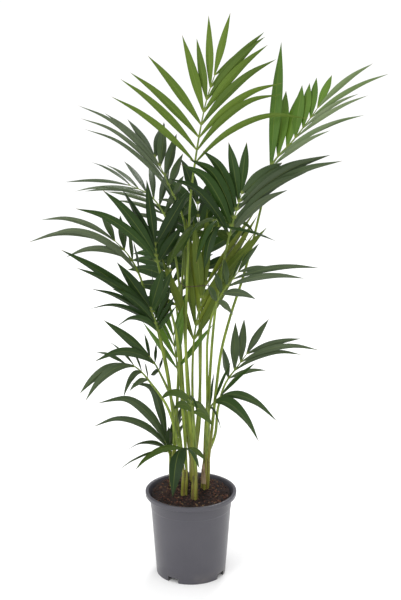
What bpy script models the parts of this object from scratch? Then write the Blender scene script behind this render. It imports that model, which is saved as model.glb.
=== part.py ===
"""A potted Kentia palm: five young palms in one nursery pot, with their feather leaves.

Metres, +Z up. The origin is the middle of the pot's underside, and the front of the plant faces -Y.
Every frond is one closed solid: its stalk, its midrib and its leaflets grew as one piece.
"""

import itertools
import math
from dataclasses import dataclass

import bmesh
import bpy
from mathutils import Matrix, Vector
from mathutils.bvhtree import BVHTree
from mathutils.geometry import convex_hull_2d, interpolate_bezier

# Pot
POT_HEIGHT = 0.183
RIM_RADIUS = 0.095
BASE_RADIUS = 0.0725
LIP_HEIGHT = 0.010
LIP_WIDTH = 0.0065
WALL = 0.0024
BAND_DROP = 0.025
BAND_STEP = 0.0008
WALL_TOP_RADIUS = RIM_RADIUS - LIP_WIDTH - 0.0035
FLOOR_HEIGHT = 0.007
FLOOR_THICKNESS = 0.0024
PAD_RADIUS = 0.016
NOTCHES = 4
NOTCH_WIDTH = 0.0245
NOTCH_HEIGHT = 0.0115
NOTCH_DEPTH = 0.012
FIRST_NOTCH = -121.0
ROUND_STEPS = 48

# Soil
SOIL_DROP = 0.015
SOIL_TOP = POT_HEIGHT - SOIL_DROP
SOIL_WAVE = 0.0022
SOCKET_DEPTH = 0.030
FIT = 0.0003

# Palms
STALK_FOOT_RADIUS = 0.0021
STALK_RADIUS = 0.0028
STALK_NECK_RADIUS = 0.0018
STALK_TIP_RADIUS = 0.0007
STALK_SWELL = 0.08
STALK_STEP = 0.075
STALK_RISE = 0.02
STALK_SPACING = 0.0066
STEM_SIDES = 12
ROOT_LENGTH = 0.006
TIP_LENGTH = 0.002
KEEL_HEIGHT = 0.0008
KEEL_SHARE = 0.06
RINGS = ((0.10, 0.42), (0.38, 1.0))
LAST_RING = 0.72
GUARD = 0.0009
STALK_GUARD = 0.0005

# Tie
TIE_HEIGHT = 0.455
TIE_RADIUS = 0.0008
TIE_REACH = 0.042
TIE_MIDDLE = (0.008, 0.015)

UP = Vector((0.0, 0.0, 1.0))
# The upper and lower corner of a midrib's ring on its left (-1) and right (1) side
SIDE_CORNERS = {-1: (1, 2), 1: (0, 3)}


@dataclass(frozen=True)
class Stem:
    """One young palm's short cane, from its foot in the soil to its crown."""

    name: str
    foot: tuple[float, float]
    crown: tuple[float, float]
    height: float
    foot_radius: float


@dataclass(frozen=True)
class Side:
    """The leaflets along one side of a midrib. Each row of values is spread from the lowest to the topmost."""

    sweep: tuple[float, ...]
    length: tuple[float, ...]
    width: tuple[float, ...]
    sag: tuple[float, ...]
    rise: float = 8.0
    tilt: float = 22.0
    fullness: float = 0.70


@dataclass(frozen=True)
class Frond:
    """One feather leaf. Its route runs from above its stem's crown to the midrib's tip, over the soil's middle."""

    name: str
    stem: str
    route: tuple[tuple[float, float, float], ...]
    blade: float
    pairs: int
    left: Side
    right: Side
    face: tuple[float, float, float]


STEMS = (
    Stem("stem_left", (-0.036, 0.033), (-0.038, 0.030), 0.062, 0.0095),
    Stem("stem_front_left", (-0.014, -0.002), (-0.012, -0.006), 0.058, 0.0090),
    Stem("stem_front", (0.008, -0.018), (0.009, -0.013), 0.050, 0.0085),
    Stem("stem_right", (0.030, 0.022), (0.033, 0.020), 0.072, 0.0100),
    Stem("stem_back", (0.006, 0.052), (0.004, 0.055), 0.060, 0.0090),
)

FRONDS = (
    Frond(
        "frond_top", "stem_front",
        ((-0.005, -0.005, 0.21), (-0.010, 0.0, 0.345), (-0.005, 0.010, 0.51), (0.0, 0.020, 0.63),
         (0.010, 0.035, 0.708), (0.020, 0.050, 0.767), (0.032, 0.062, 0.822), (0.050, 0.075, 0.875)),
        blade=0.185, pairs=8,
        left=Side((49, 47, 49, 43, 26, 19, 20, 5), (0.21, 0.205, 0.185, 0.17, 0.155, 0.12, 0.14, 0.125),
                  (0.014, 0.019, 0.015), (0.50, 0.10)),
        right=Side((33, 26, 29, 25, 22, 20, 11, 8), (0.255, 0.20, 0.20, 0.195, 0.165, 0.155, 0.125),
                   (0.013, 0.018, 0.015), (1.00, 0.10)),
        face=(0.0, -1.0, 0.4),
    ),
    Frond(
        "frond_left_high", "stem_left",
        ((-0.028, 0.030, 0.205), (-0.022, 0.035, 0.335), (-0.015, 0.040, 0.50), (-0.010, 0.045, 0.557),
         (-0.022, 0.055, 0.605), (-0.040, 0.065, 0.640), (-0.055, 0.080, 0.672), (-0.075, 0.100, 0.705)),
        blade=0.165, pairs=8,
        left=Side((38, 21, 19, 8, 14, 13, 9, 6), (0.03, 0.035, 0.045, 0.23, 0.235, 0.24, 0.165, 0.10),
                  (0.008, 0.010, 0.012, 0.012, 0.020), (0.6, 0.75, 0.75, 0.25), tilt=50),
        right=Side((45, 52, 55, 42, 34, 26), (0.03, 0.03, 0.04, 0.08, 0.105, 0.085), (0.009, 0.012, 0.018, 0.022),
                   (0.12, 0.12)),
        face=(0.3, -0.8, 0.5),
    ),
    Frond(
        "frond_right_tall", "stem_right",
        ((0.045, 0.030, 0.15), (0.065, 0.035, 0.32), (0.115, 0.040, 0.495), (0.150, 0.045, 0.645),
         (0.165, 0.050, 0.698), (0.203, 0.065, 0.738), (0.242, 0.085, 0.785), (0.258, 0.095, 0.806)),
        blade=0.16, pairs=7,
        left=Side((21, 36, 34, 26, 20, 14, 12), (0.25, 0.12, 0.12, 0.10, 0.095, 0.075), (0.024, 0.018, 0.014),
                  (0.10, 0.10), tilt=10, fullness=0.85),
        right=Side((29, 12, 25, 30, 24, 26, 9), (0.142, 0.16, 0.165, 0.167, 0.13, 0.18, 0.145),
                   (0.015, 0.015, 0.013, 0.018), (0.45, 0.45), tilt=40),
        face=(-0.4, -0.7, 0.6),
    ),
    Frond(
        "frond_right_broad", "stem_right",
        ((0.037, 0.0, 0.215), (0.050, -0.010, 0.41), (0.075, -0.020, 0.557), (0.090, -0.020, 0.615),
         (0.102, -0.010, 0.655)),
        blade=0.095, pairs=6,
        left=Side((37, 33, 32, 31, 18, 11), (0.175, 0.17, 0.145, 0.125, 0.10), (0.018, 0.020, 0.016),
                  (0.9, 1.0, 0.3), fullness=0.8),
        right=Side((20, 20, 27, 28, 32, 6), (0.15, 0.185, 0.245, 0.215, 0.17, 0.10), (0.018, 0.020, 0.020, 0.030),
                   (0.7, 0.7, 0.3), fullness=0.8),
        face=(0.1, -0.8, 0.6),
    ),
    Frond(
        "frond_left_fan", "stem_front_left",
        ((-0.018, 0.0, 0.21), (-0.030, -0.010, 0.367), (-0.058, -0.020, 0.480), (-0.067, -0.025, 0.525),
         (-0.069, -0.030, 0.555)),
        blade=0.045, pairs=4,
        left=Side((23, 13, 14, 12), (0.212, 0.185, 0.145, 0.14), (0.020, 0.024, 0.020), (0.75, 0.10)),
        right=Side((40, 28, 17, 14), (0.09, 0.105, 0.117, 0.144), (0.022, 0.026, 0.020), (0.15, 0.10)),
        face=(0.1, -0.9, 0.4),
    ),
    Frond(
        "frond_left_long", "stem_left",
        ((-0.037, 0.025, 0.175), (-0.055, 0.020, 0.315), (-0.087, 0.015, 0.422), (-0.105, 0.015, 0.482),
         (-0.128, 0.015, 0.522), (-0.155, 0.010, 0.552)),
        blade=0.09, pairs=4,
        left=Side((17, 22, 8, 6), (0.245, 0.15, 0.21, 0.16), (0.020, 0.016), (1.1, 0.8)),
        right=Side((10, 14, 17, 15), (0.07, 0.075, 0.07, 0.065), (0.022, 0.020), (0.3, 0.3)),
        face=(0.3, -0.7, 0.7),
    ),
    Frond(
        "frond_left_back", "stem_back",
        ((-0.005, 0.090, 0.21), (-0.020, 0.090, 0.40), (-0.045, 0.100, 0.555), (-0.080, 0.130, 0.610),
         (-0.130, 0.160, 0.630)),
        blade=0.13, pairs=7,
        left=Side((55, 20), (0.10, 0.12, 0.14), (0.012, 0.014, 0.012), (0.4, 0.4)),
        right=Side((55, 20), (0.09, 0.12, 0.14), (0.012, 0.014, 0.012), (0.4, 0.4)),
        face=(-0.1, -0.2, 1.0),
    ),
    Frond(
        "frond_left_node", "stem_left",
        ((-0.034, 0.005, 0.125), (-0.043, -0.008, 0.240), (-0.062, -0.020, 0.350), (-0.070, -0.030, 0.390),
         (-0.080, -0.035, 0.425)),
        blade=0.06, pairs=7,
        left=Side((14, 27, 27, 30, 27, 18), (0.12, 0.17, 0.14, 0.15, 0.21, 0.24, 0.125), (0.012, 0.013, 0.014, 0.020),
                  (1.2, 0.6, 0.5, 0.2)),
        right=Side((44, 40, 30, 24, 18), (0.065, 0.08, 0.095, 0.11), (0.014, 0.018, 0.020), (0.15, 0.15)),
        face=(0.1, -0.8, 0.6),
    ),
    Frond(
        "frond_low_left_upper", "stem_front_left",
        ((-0.022, 0.0, 0.125), (-0.037, -0.004, 0.205), (-0.052, -0.012, 0.250), (-0.070, -0.023, 0.295),
         (-0.084, -0.032, 0.322)),
        blade=0.05, pairs=3,
        left=Side((42, 20, 15), (0.036, 0.20, 0.175), (0.014, 0.018, 0.020), (0.3, 0.8, 0.1)),
        right=Side((60, 50, 20), (0.03, 0.04, 0.05), (0.014, 0.022, 0.020), (0.2, 0.2)),
        face=(0.2, -0.6, 0.8),
    ),
    Frond(
        "frond_low_left_arch", "stem_front_left",
        ((-0.027, -0.011, 0.125), (-0.037, -0.020, 0.185), (-0.062, -0.035, 0.233), (-0.090, -0.050, 0.282),
         (-0.113, -0.065, 0.310), (-0.133, -0.080, 0.320)),
        blade=0.078, pairs=4,
        left=Side((44, 25, 16, 10), (0.096, 0.085, 0.155, 0.13), (0.012, 0.016, 0.018), (0.6, 2.0, 1.4, 1.0)),
        right=Side((45, 31, 16, 20), (0.04, 0.05, 0.07, 0.065), (0.014, 0.018, 0.022), (0.5, 0.5)),
        face=(0.2, -0.5, 0.8),
    ),
    Frond(
        "frond_low_left_middle", "stem_left",
        ((-0.048, 0.036, 0.098), (-0.049, 0.036, 0.120)),
        blade=0.028, pairs=3,
        left=Side((14, 20, 19), (0.185, 0.21, 0.18), (0.015, 0.020, 0.018), (1.2, 1.1, 1.1)),
        right=Side((34, 28, 22), (0.06, 0.07, 0.09), (0.016, 0.020, 0.018), (0.3, 0.3)),
        face=(0.3, -0.8, 0.5),
    ),
    Frond(
        "frond_low_left_lower", "stem_left",
        ((-0.045, 0.022, 0.090), (-0.050, 0.014, 0.106)),
        blade=0.020, pairs=2,
        left=Side((34, 22), (0.15, 0.12), (0.016, 0.018), (0.7, 0.9)),
        right=Side((30, 18), (0.05, 0.06), (0.013, 0.015), (0.3, 0.3)),
        face=(0.2, -0.9, 0.2),
    ),
    Frond(
        "frond_front_low", "stem_front_left",
        ((-0.014, -0.022, 0.100), (-0.013, -0.040, 0.122), (-0.013, -0.055, 0.129)),
        blade=0.022, pairs=2,
        left=Side((72, 40), (0.05, 0.06), (0.014, 0.016), (2.0, 2.6)),
        right=Side((68, 12), (0.115, 0.130), (0.020, 0.029), (1.6, 2.6)),
        face=(0.0, -0.4, 0.9),
    ),
    Frond(
        "frond_low_right", "stem_right",
        ((0.034, -0.006, 0.130), (0.035, -0.015, 0.185), (0.043, -0.025, 0.212), (0.062, -0.040, 0.238)),
        blade=0.045, pairs=3,
        left=Side((25, 15, 8), (0.07, 0.09, 0.12), (0.016, 0.018, 0.016), (0.3, 0.3)),
        right=Side((48, 24, 15), (0.077, 0.168, 0.185), (0.014, 0.027, 0.018), (1.5, 1.5, 1.0)),
        face=(0.0, -0.6, 0.8),
    ),
    Frond(
        "frond_right_lower", "stem_right",
        ((0.048, 0.050, 0.105), (0.058, 0.055, 0.182), (0.072, 0.060, 0.228), (0.098, 0.065, 0.265),
         (0.120, 0.070, 0.295)),
        blade=0.072, pairs=4,
        left=Side((22, 15, 10, 8), (0.066, 0.10, 0.09, 0.085), (0.018, 0.022, 0.018), (0.3, 0.3)),
        right=Side((18, 15, 27, 25), (0.085, 0.149, 0.178, 0.122), (0.012, 0.014, 0.016), (0.6, 0.9, 0.8, 0.4)),
        face=(-0.2, -0.7, 0.7),
    ),
    Frond(
        "frond_right_middle", "stem_right",
        ((0.034, -0.012, 0.216), (0.034, -0.025, 0.350), (0.048, -0.040, 0.422), (0.068, -0.045, 0.463),
         (0.098, -0.050, 0.505)),
        blade=0.085, pairs=5,
        left=Side((60, 37, 22, 12, 8), (0.04, 0.055, 0.07), (0.020, 0.018, 0.015), (0.3, 0.3)),
        right=Side((59, 41, 33, 32, 26), (0.05, 0.085, 0.185, 0.20, 0.09), (0.024, 0.016, 0.014),
                   (1.2, 0.6, 0.45, 0.4)),
        face=(-0.1, -0.6, 0.8),
    ),
    Frond(
        "frond_centre", "stem_back",
        ((0.018, 0.050, 0.198), (0.022, 0.050, 0.370), (0.034, 0.042, 0.520), (0.044, 0.024, 0.575),
         (0.052, -0.006, 0.596), (0.056, -0.040, 0.588)),
        blade=0.10, pairs=5,
        left=Side((70, 62, 60, 55), (0.08, 0.09, 0.09, 0.13), (0.016, 0.018, 0.014), (2.6, 2.0, 1.2, 0.3)),
        right=Side((75, 60, 45, 30), (0.13, 0.15, 0.11, 0.10), (0.020, 0.022, 0.018), (2.6, 2.4, 2.2, 2.0)),
        face=(0.0, -0.3, 1.0),
    ),
    Frond(
        "frond_inner", "stem_front",
        ((0.004, 0.004, 0.205), (0.004, 0.012, 0.290), (0.008, 0.016, 0.350), (0.018, 0.017, 0.405),
         (0.032, 0.016, 0.460)),
        blade=0.125, pairs=5,
        left=Side((26, 20, 14), (0.19, 0.19, 0.16), (0.018, 0.022, 0.018), (0.05, 0.05)),
        right=Side((22, 17, 12), (0.22, 0.23, 0.18), (0.020, 0.024, 0.020), (0.10, 0.10)),
        face=(0.1, -1.0, 0.3),
    ),
    Frond(
        "frond_inner_low", "stem_back",
        ((-0.008, 0.046, 0.150), (-0.022, 0.036, 0.230), (-0.030, 0.030, 0.290), (-0.036, 0.026, 0.350)),
        blade=0.085, pairs=4,
        left=Side((24, 18, 12), (0.13, 0.13, 0.10), (0.014, 0.016, 0.013), (0.05, 0.05)),
        right=Side((24, 18, 12), (0.13, 0.14, 0.11), (0.014, 0.016, 0.013), (0.05, 0.05)),
        face=(-0.1, -1.0, 0.2),
    ),
    Frond(
        "frond_back_right", "stem_back",
        ((0.018, 0.085, 0.14), (0.018, 0.110, 0.320), (0.017, 0.130, 0.450), (0.016, 0.150, 0.530),
         (0.014, 0.180, 0.590)),
        blade=0.15, pairs=6,
        left=Side((60, 44, 30, 20, 12), (0.11, 0.13, 0.13, 0.11), (0.020, 0.026, 0.020), (0.6, 0.6)),
        right=Side((60, 44, 30, 20, 12), (0.11, 0.13, 0.13, 0.11), (0.020, 0.026, 0.020), (0.6, 0.6)),
        face=(0.0, -0.9, 0.5),
    ),
    Frond(
        "frond_back_left", "stem_back",
        ((-0.006, 0.088, 0.138), (-0.020, 0.125, 0.310), (-0.038, 0.190, 0.415), (-0.058, 0.255, 0.460)),
        blade=0.14, pairs=6,
        left=Side((62, 40, 18), (0.09, 0.11, 0.10), (0.018, 0.022, 0.016), (0.8, 0.8)),
        right=Side((62, 40, 18), (0.10, 0.13, 0.10), (0.018, 0.022, 0.016), (0.8, 0.8)),
        face=(0.0, -0.6, 0.8),
    ),
    Frond(
        "frond_low_inner", "stem_front",
        ((0.006, -0.026, 0.150), (0.003, -0.040, 0.210), (-0.003, -0.056, 0.237)),
        blade=0.045, pairs=3,
        left=Side((60, 25), (0.06, 0.08, 0.07), (0.018, 0.020, 0.018), (1.6, 1.6)),
        right=Side((60, 25), (0.06, 0.08, 0.07), (0.018, 0.020, 0.018), (1.6, 1.6)),
        face=(0.0, -0.3, 1.0),
    ),
)


class Path:
    """A smooth curve through points, read by distance along it."""

    def __init__(self, points):
        points = [Vector(point) for point in points]
        ways = [self.way(points, index) for index in range(len(points))]
        self.points = [points[0]]
        for (start, way), (end, next_way) in itertools.pairwise(zip(points, ways)):
            reach = (end - start).length / 3
            self.points += interpolate_bezier(start, start + way * reach, end - next_way * reach, end, 13)[1:]
        steps = [(end - start).length for start, end in itertools.pairwise(self.points)]
        self.marks = [0.0, *itertools.accumulate(steps)]
        self.length = self.marks[-1]

    @staticmethod
    def way(points, index):
        """The curve's direction at a point: along the line between its neighbours."""
        return (points[min(index + 1, len(points) - 1)] - points[max(index - 1, 0)]).normalized()

    def at(self, distance):
        """The point and the direction at a distance along the curve."""
        index = 0
        while index < len(self.points) - 2 and self.marks[index + 1] < distance:
            index += 1
        start, end = self.points[index], self.points[index + 1]
        share = (distance - self.marks[index]) / (self.marks[index + 1] - self.marks[index])
        return start.lerp(end, min(max(share, 0.0), 1.0)), self.way(self.points, round(index + share))


class Solid:
    """Points and faces that later pieces have to stay clear of."""

    def __init__(self, points, faces):
        self.tree = BVHTree.FromPolygons(points, faces)
        self.low = Vector(map(min, zip(*points)))
        self.high = Vector(map(max, zip(*points)))

    def meets(self, other):
        """Whether the surfaces of two solids cross."""
        apart = any(
            self.high[axis] < other.low[axis] or other.high[axis] < self.low[axis] for axis in range(3)
        )
        return not apart and bool(self.tree.overlap(other.tree))


def blend(values, share):
    """A value read along a row of evenly spaced ones as the share goes from 0 to 1."""
    place = share * (len(values) - 1)
    index = min(int(place), len(values) - 2)
    return values[index] + (values[index + 1] - values[index]) * (place - index)


def material(name, colour, roughness):
    """A plain finish."""
    made = bpy.data.materials.new(name)
    made.use_nodes = True
    shader = made.node_tree.nodes["Principled BSDF"]
    shader.inputs["Base Color"].default_value = (*colour, 1.0)
    shader.inputs["Roughness"].default_value = roughness
    return made


def add_object(name, mesh, finish):
    """An object with one finish, in the scene."""
    mesh.materials.append(finish)
    made = bpy.data.objects.new(name, mesh)
    bpy.context.collection.objects.link(made)
    return made


def mesh_from(name, shape, smooth):
    """The mesh of a bmesh, with its faces turned outwards."""
    bmesh.ops.recalc_face_normals(shape, faces=shape.faces)
    mesh = bpy.data.meshes.new(name)
    shape.to_mesh(mesh)
    shape.free()
    if smooth:
        mesh.shade_smooth()
        mesh.set_sharp_from_angle(angle=math.radians(35))
    return mesh


def turned(name, profile):
    """A mesh turned round the Z axis from (radius, height) points that start and end on the axis."""
    shape = bmesh.new()
    points = [shape.verts.new((radius, 0.0, height)) for radius, height in profile]
    edges = [shape.edges.new(pair) for pair in itertools.pairwise(points)]
    bmesh.ops.spin(
        shape, geom=points + edges, cent=(0, 0, 0), axis=UP, angle=2 * math.pi, steps=ROUND_STEPS,
        use_duplicate=False,
    )
    bmesh.ops.remove_doubles(shape, verts=shape.verts, dist=1e-6)
    return mesh_from(name, shape, smooth=True)


def wall_radius(height):
    """The radius of the pot's outer wall under its lip."""
    top = POT_HEIGHT - LIP_HEIGHT
    radius = BASE_RADIUS + (WALL_TOP_RADIUS - BASE_RADIUS) * height / top
    return radius + (BAND_STEP if height > top - BAND_DROP else 0.0)


def add_pot(finish):
    """The nursery pot: a tapered shell with a rolled lip, a raised floor and drain notches in its foot."""
    under_lip = POT_HEIGHT - LIP_HEIGHT
    band = under_lip - BAND_DROP
    inner_lip = RIM_RADIUS - LIP_WIDTH
    roll = LIP_WIDTH * 0.3
    floor_top = FLOOR_HEIGHT + FLOOR_THICKNESS
    profile = [
        (0.0, 0.0),
        (PAD_RADIUS, 0.0),
        (PAD_RADIUS + 0.001, FLOOR_HEIGHT),
        (BASE_RADIUS - WALL - 0.001, FLOOR_HEIGHT),
        (BASE_RADIUS - WALL, 0.0),
        (BASE_RADIUS, 0.0),
        (wall_radius(band), band - 0.001),
        (wall_radius(band + 0.001), band + 0.001),
        (wall_radius(under_lip), under_lip),
        (RIM_RADIUS - roll, under_lip),
        (RIM_RADIUS, under_lip + roll),
        (RIM_RADIUS, POT_HEIGHT - roll),
        (RIM_RADIUS - roll, POT_HEIGHT),
        (inner_lip + roll, POT_HEIGHT),
        (inner_lip, POT_HEIGHT - roll),
        (wall_radius(under_lip) - WALL, under_lip - 0.004),
        (wall_radius(band) - WALL, band),
        (wall_radius(floor_top) - WALL, floor_top),
        (0.0, floor_top),
    ]
    pot = add_object("pot", turned("pot", profile), finish)
    for index in range(NOTCHES):
        bpy.ops.mesh.primitive_cube_add(size=1)
        cutter = bpy.context.object
        cutter.name = f"notch_cutter_{index + 1}"
        turn = Matrix.Rotation(math.radians(FIRST_NOTCH + index * 360 / NOTCHES), 4, "Z")
        size = Matrix.Diagonal((2 * NOTCH_DEPTH, NOTCH_WIDTH, 2 * NOTCH_HEIGHT, 1))
        cutter.data.transform(turn @ Matrix.Translation((BASE_RADIUS, 0, 0)) @ size)
        cutter.display_type = "WIRE"
        cutter.hide_render = True
        cut = pot.modifiers.new(cutter.name, "BOOLEAN")
        cut.object = cutter
    return pot


def crown_of(stem, fronds):
    """The radius of a stem's crown and of the ring on which its stalks stand."""
    ring = STALK_SPACING / (2 * math.sin(math.pi / max(fronds, 2)))
    return ring + STALK_FOOT_RADIUS * 1.5, ring


def add_stem(stem, crown_radius, finish):
    """A cane that leans from its socket in the soil to a level crown, swollen at its foot."""
    bottom = SOIL_TOP - SOCKET_DEPTH + FIT
    top = SOIL_TOP + stem.height
    foot, crown = Vector((*stem.foot, SOIL_TOP)), Vector((*stem.crown, top))
    rings = (
        (foot.to_2d(), bottom, stem.foot_radius),
        (foot.to_2d(), SOIL_TOP + 0.012, stem.foot_radius),
        (foot.lerp(crown, 0.6).to_2d(), SOIL_TOP + 0.6 * stem.height, crown_radius * 0.97),
        (crown.to_2d(), top, crown_radius),
    )
    shape = bmesh.new()
    loops = []
    for centre, height, radius in rings:
        turns = [2 * math.pi * step / STEM_SIDES for step in range(STEM_SIDES)]
        loops.append([
            shape.verts.new((centre.x + radius * math.cos(turn), centre.y + radius * math.sin(turn), height))
            for turn in turns
        ])
    for low, high in itertools.pairwise(loops):
        for step in range(STEM_SIDES):
            after = (step + 1) % STEM_SIDES
            shape.faces.new((low[step], low[after], high[after], high[step]))
    shape.faces.new(loops[0])
    shape.faces.new(loops[-1])
    return add_object(stem.name, mesh_from(stem.name, shape, smooth=True), finish)


def add_soil(finish):
    """The compost: it fills the pot with a fit all round, its top gently uneven, with a socket for each stem."""
    floor_top = FLOOR_HEIGHT + FLOOR_THICKNESS + FIT
    under_lip = POT_HEIGHT - LIP_HEIGHT
    band = under_lip - BAND_DROP
    gap = WALL + 2 * FIT
    rim = wall_radius(SOIL_TOP) - gap
    profile = [
        (0.0, floor_top),
        (wall_radius(floor_top) - gap, floor_top),
        (wall_radius(band) - gap, band),
        (rim, SOIL_TOP),
        *((rim * share, SOIL_TOP) for share in (0.8, 0.6, 0.4, 0.2)),
        (0.0, SOIL_TOP),
    ]
    mesh = turned("soil", profile)
    for vertex in mesh.vertices:
        x, y, z = vertex.co
        if z > SOIL_TOP - FIT and math.hypot(x, y) < rim * 0.95:
            vertex.co.z = SOIL_TOP + SOIL_WAVE * math.sin(70 * x + 1.3) * math.cos(60 * y - 0.4)
    soil = add_object("soil", mesh, finish)
    for stem in STEMS:
        bpy.ops.mesh.primitive_cylinder_add(
            vertices=STEM_SIDES * 2, radius=stem.foot_radius + 2 * FIT, depth=2 * SOCKET_DEPTH,
            location=(*stem.foot, SOIL_TOP),
        )
        cutter = bpy.context.object
        cutter.name = f"{stem.name}_socket_cutter"
        cutter.display_type = "WIRE"
        cutter.hide_render = True
        cut = soil.modifiers.new(cutter.name, "BOOLEAN")
        cut.object = cutter
    return soil


def frames_along(path, distances, blade_middle, face):
    """(point, direction, side, upper) at each distance. The upper side turns with the curve without twisting."""
    start = min(range(len(distances)), key=lambda index: abs(distances[index] - blade_middle))
    places = [path.at(distance) for distance in distances]
    uppers = [None] * len(places)
    for order in (range(start, len(places)), range(start, -1, -1)):
        upper = Vector(face)
        for index in order:
            way = places[index][1]
            upper = (upper - way * upper.dot(way)).normalized()
            uppers[index] = upper
    return [(point, way, way.cross(upper), upper) for (point, way), upper in zip(places, uppers)]


def stalk_radius(distance, neck, length):
    """The stalk's half width: slim at its foot, then stout, and tapering along the midrib."""
    if distance < STALK_SWELL:
        return blend((STALK_FOOT_RADIUS, STALK_RADIUS), distance / STALK_SWELL)
    if distance < neck:
        return blend((STALK_RADIUS, STALK_NECK_RADIUS), (distance - STALK_SWELL) / (neck - STALK_SWELL))
    return blend((STALK_NECK_RADIUS, STALK_TIP_RADIUS), (distance - neck) / (length - neck))


class Stalk:
    """The square-sectioned stalk and midrib of a frond, as rings of four corners."""

    def __init__(self, frond, points):
        path = Path(points)
        self.neck = path.length - frond.blade
        bare = max(round(self.neck / STALK_STEP), 2)
        distances = [self.neck * step / bare for step in range(bare)]
        spacing = (frond.blade - ROOT_LENGTH - TIP_LENGTH) / (frond.pairs - 1)
        for pair in range(frond.pairs):
            distances += [self.neck + pair * spacing, self.neck + pair * spacing + ROOT_LENGTH]
        self.frames = frames_along(path, distances, self.neck + frond.blade / 2, frond.face)
        self.radii = [stalk_radius(distance, self.neck, path.length) for distance in distances]
        self.tip = path.at(path.length)[0]
        self.first_root = bare

    def ring(self, index, extra=0.0):
        """Four corners, in order: right upper, left upper, left lower, right lower."""
        point, way, side, upper = self.frames[index]
        radius = self.radii[index] + extra
        if index == 0:
            side = (side - UP * side.dot(UP)).normalized()
            upper = side.cross(UP)
        return [point + side * radius * a + upper * radius * b for a, b in ((1, 1), (-1, 1), (-1, -1), (1, -1))]

    def solid(self, extra=0.0):
        """The whole stalk as a closed solid, made stouter by the extra."""
        points = [corner for index in range(len(self.frames)) for corner in self.ring(index, extra)]
        faces = []
        for index in range(len(self.frames) - 1):
            for corner in range(4):
                after = (corner + 1) % 4
                low, high = 4 * index, 4 * index + 4
                faces.append((low + corner, low + after, high + after, high + corner))
        last = len(points) - 4
        faces += [(last + corner, last + (corner + 1) % 4, len(points)) for corner in range(4)]
        faces.append((0, 1, 2, 3))
        return Solid([*points, self.tip], faces)


class Leaflet:
    """One leaflet: a keeled blade that leaves the midrib, widens, bends down and runs to a point."""

    STEPS = 24
    # Root corners are 0 to 3, the first ring's near edge, keel and far edge 4 to 6
    ROOT_FACES = ((0, 1, 5), (1, 2, 6, 5), (2, 3, 4, 6), (3, 0, 5, 4))
    ROOT_POINTS = 4

    def __init__(self, frame, root, side, pattern, share, swing, lift, shortening):
        _, way, right, upper = frame
        out = right * side
        sweep = math.radians(max(blend(pattern.sweep, share) + swing, 3))
        rise = math.radians(pattern.rise + lift)
        start = way * math.cos(sweep) + (out * math.cos(rise) + upper * math.sin(rise)) * math.sin(sweep)
        length = blend(pattern.length, share) * shortening
        self.root, self.side = root, side
        self.width = blend(pattern.width, share)
        self.tilt = math.radians(pattern.tilt)
        self.rings = (*RINGS, (LAST_RING, pattern.fullness))
        sag = blend(pattern.sag, share)
        self.points = [sum(root, Vector()) / len(root)]
        self.ways = [start]
        self.acrosses = [(way - start * way.dot(start)).normalized()]
        for step in range(self.STEPS):
            self.points.append(self.points[-1] + self.ways[-1] * length / self.STEPS)
            along = (start - UP * sag * (step + 1) / self.STEPS).normalized()
            across = self.acrosses[-1] - along * self.acrosses[-1].dot(along)
            self.ways.append(along)
            self.acrosses.append(across.normalized())

    def section(self, share, breadth, extra):
        """Near edge, keel and far edge at a share of the length, spread by the extra."""
        index = round(share * self.STEPS)
        centre, along = self.points[index], self.ways[index]
        across = Matrix.Rotation(self.tilt * self.side, 3, along) @ self.acrosses[index]
        upper = along.cross(across) * self.side
        half = self.width * breadth / 2 + extra
        keel = KEEL_HEIGHT + KEEL_SHARE * self.width * breadth + extra
        down = upper * extra
        return [centre - across * half - down, centre + upper * keel, centre + across * half - down]

    def shell(self, extra=0.0):
        """Points and faces from the root's corners to the tip, open at the root."""
        points = [*self.root]
        for share, breadth in self.rings:
            points += self.section(share, breadth, extra)
        points.append(self.points[-1] + self.ways[-1] * extra)
        faces = [*self.ROOT_FACES]
        for ring in range(self.ROOT_POINTS, len(points) - 1, 3):
            for a, b in ((0, 1), (1, 2), (2, 0)):
                after = ring + 3
                if after < len(points) - 1:
                    faces.append((ring + a, ring + b, after + b, after + a))
                else:
                    faces.append((ring + a, ring + b, after))
        return points, faces

    def guard(self, whole):
        """A slightly stouter copy that has to lie in free space, with or without the stretch at the midrib."""
        points, faces = self.shell(GUARD)
        if whole:
            return Solid(points, [*faces, (0, 1, 2, 3)])
        skip = self.ROOT_POINTS
        faces = [tuple(index - skip for index in face) for face in faces[len(self.ROOT_FACES):]]
        return Solid(points[skip:], [*faces, (0, 1, 2)])


# Small turns to try, in degrees: along the midrib, and up or down; then shorter leaflets as well
SWINGS = (0, 5, -5, 10, -10, 16, -16, 24, -24)
LIFTS = (0, 6, -6, 12, -12, 18, -18, 26, -26, 36, -36, 48, -48)
SHORTENINGS = (1.0, 0.8, 0.6, 0.4)
TURNS = sorted(itertools.product(SWINGS, LIFTS), key=lambda turn: abs(turn[0]) * 1.3 + abs(turn[1]))


def grow_leaflet(frond, stalk, pair, side, own, others):
    """The leaflet of a pair, on the first of its tries that is clear of everything placed before it."""
    share = pair / max(frond.pairs - 1, 1)
    pattern = frond.right if side > 0 else frond.left
    index = stalk.first_root + 2 * pair
    frame = [(near + far) / 2 for near, far in zip(stalk.frames[index], stalk.frames[index + 1])]
    low, high = stalk.ring(index), stalk.ring(index + 1)
    upper, lower = SIDE_CORNERS[side]
    root = [low[upper], high[upper], high[lower], low[lower]]
    for shortening in SHORTENINGS:
        for swing, lift in TURNS:
            leaflet = Leaflet(frame, root, side, pattern, share, swing, lift, shortening)
            guard, reach = leaflet.guard(whole=False), leaflet.guard(whole=True)
            if not any(guard.meets(solid) for solid in own) and not any(reach.meets(solid) for solid in others):
                return leaflet
    return leaflet


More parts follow.
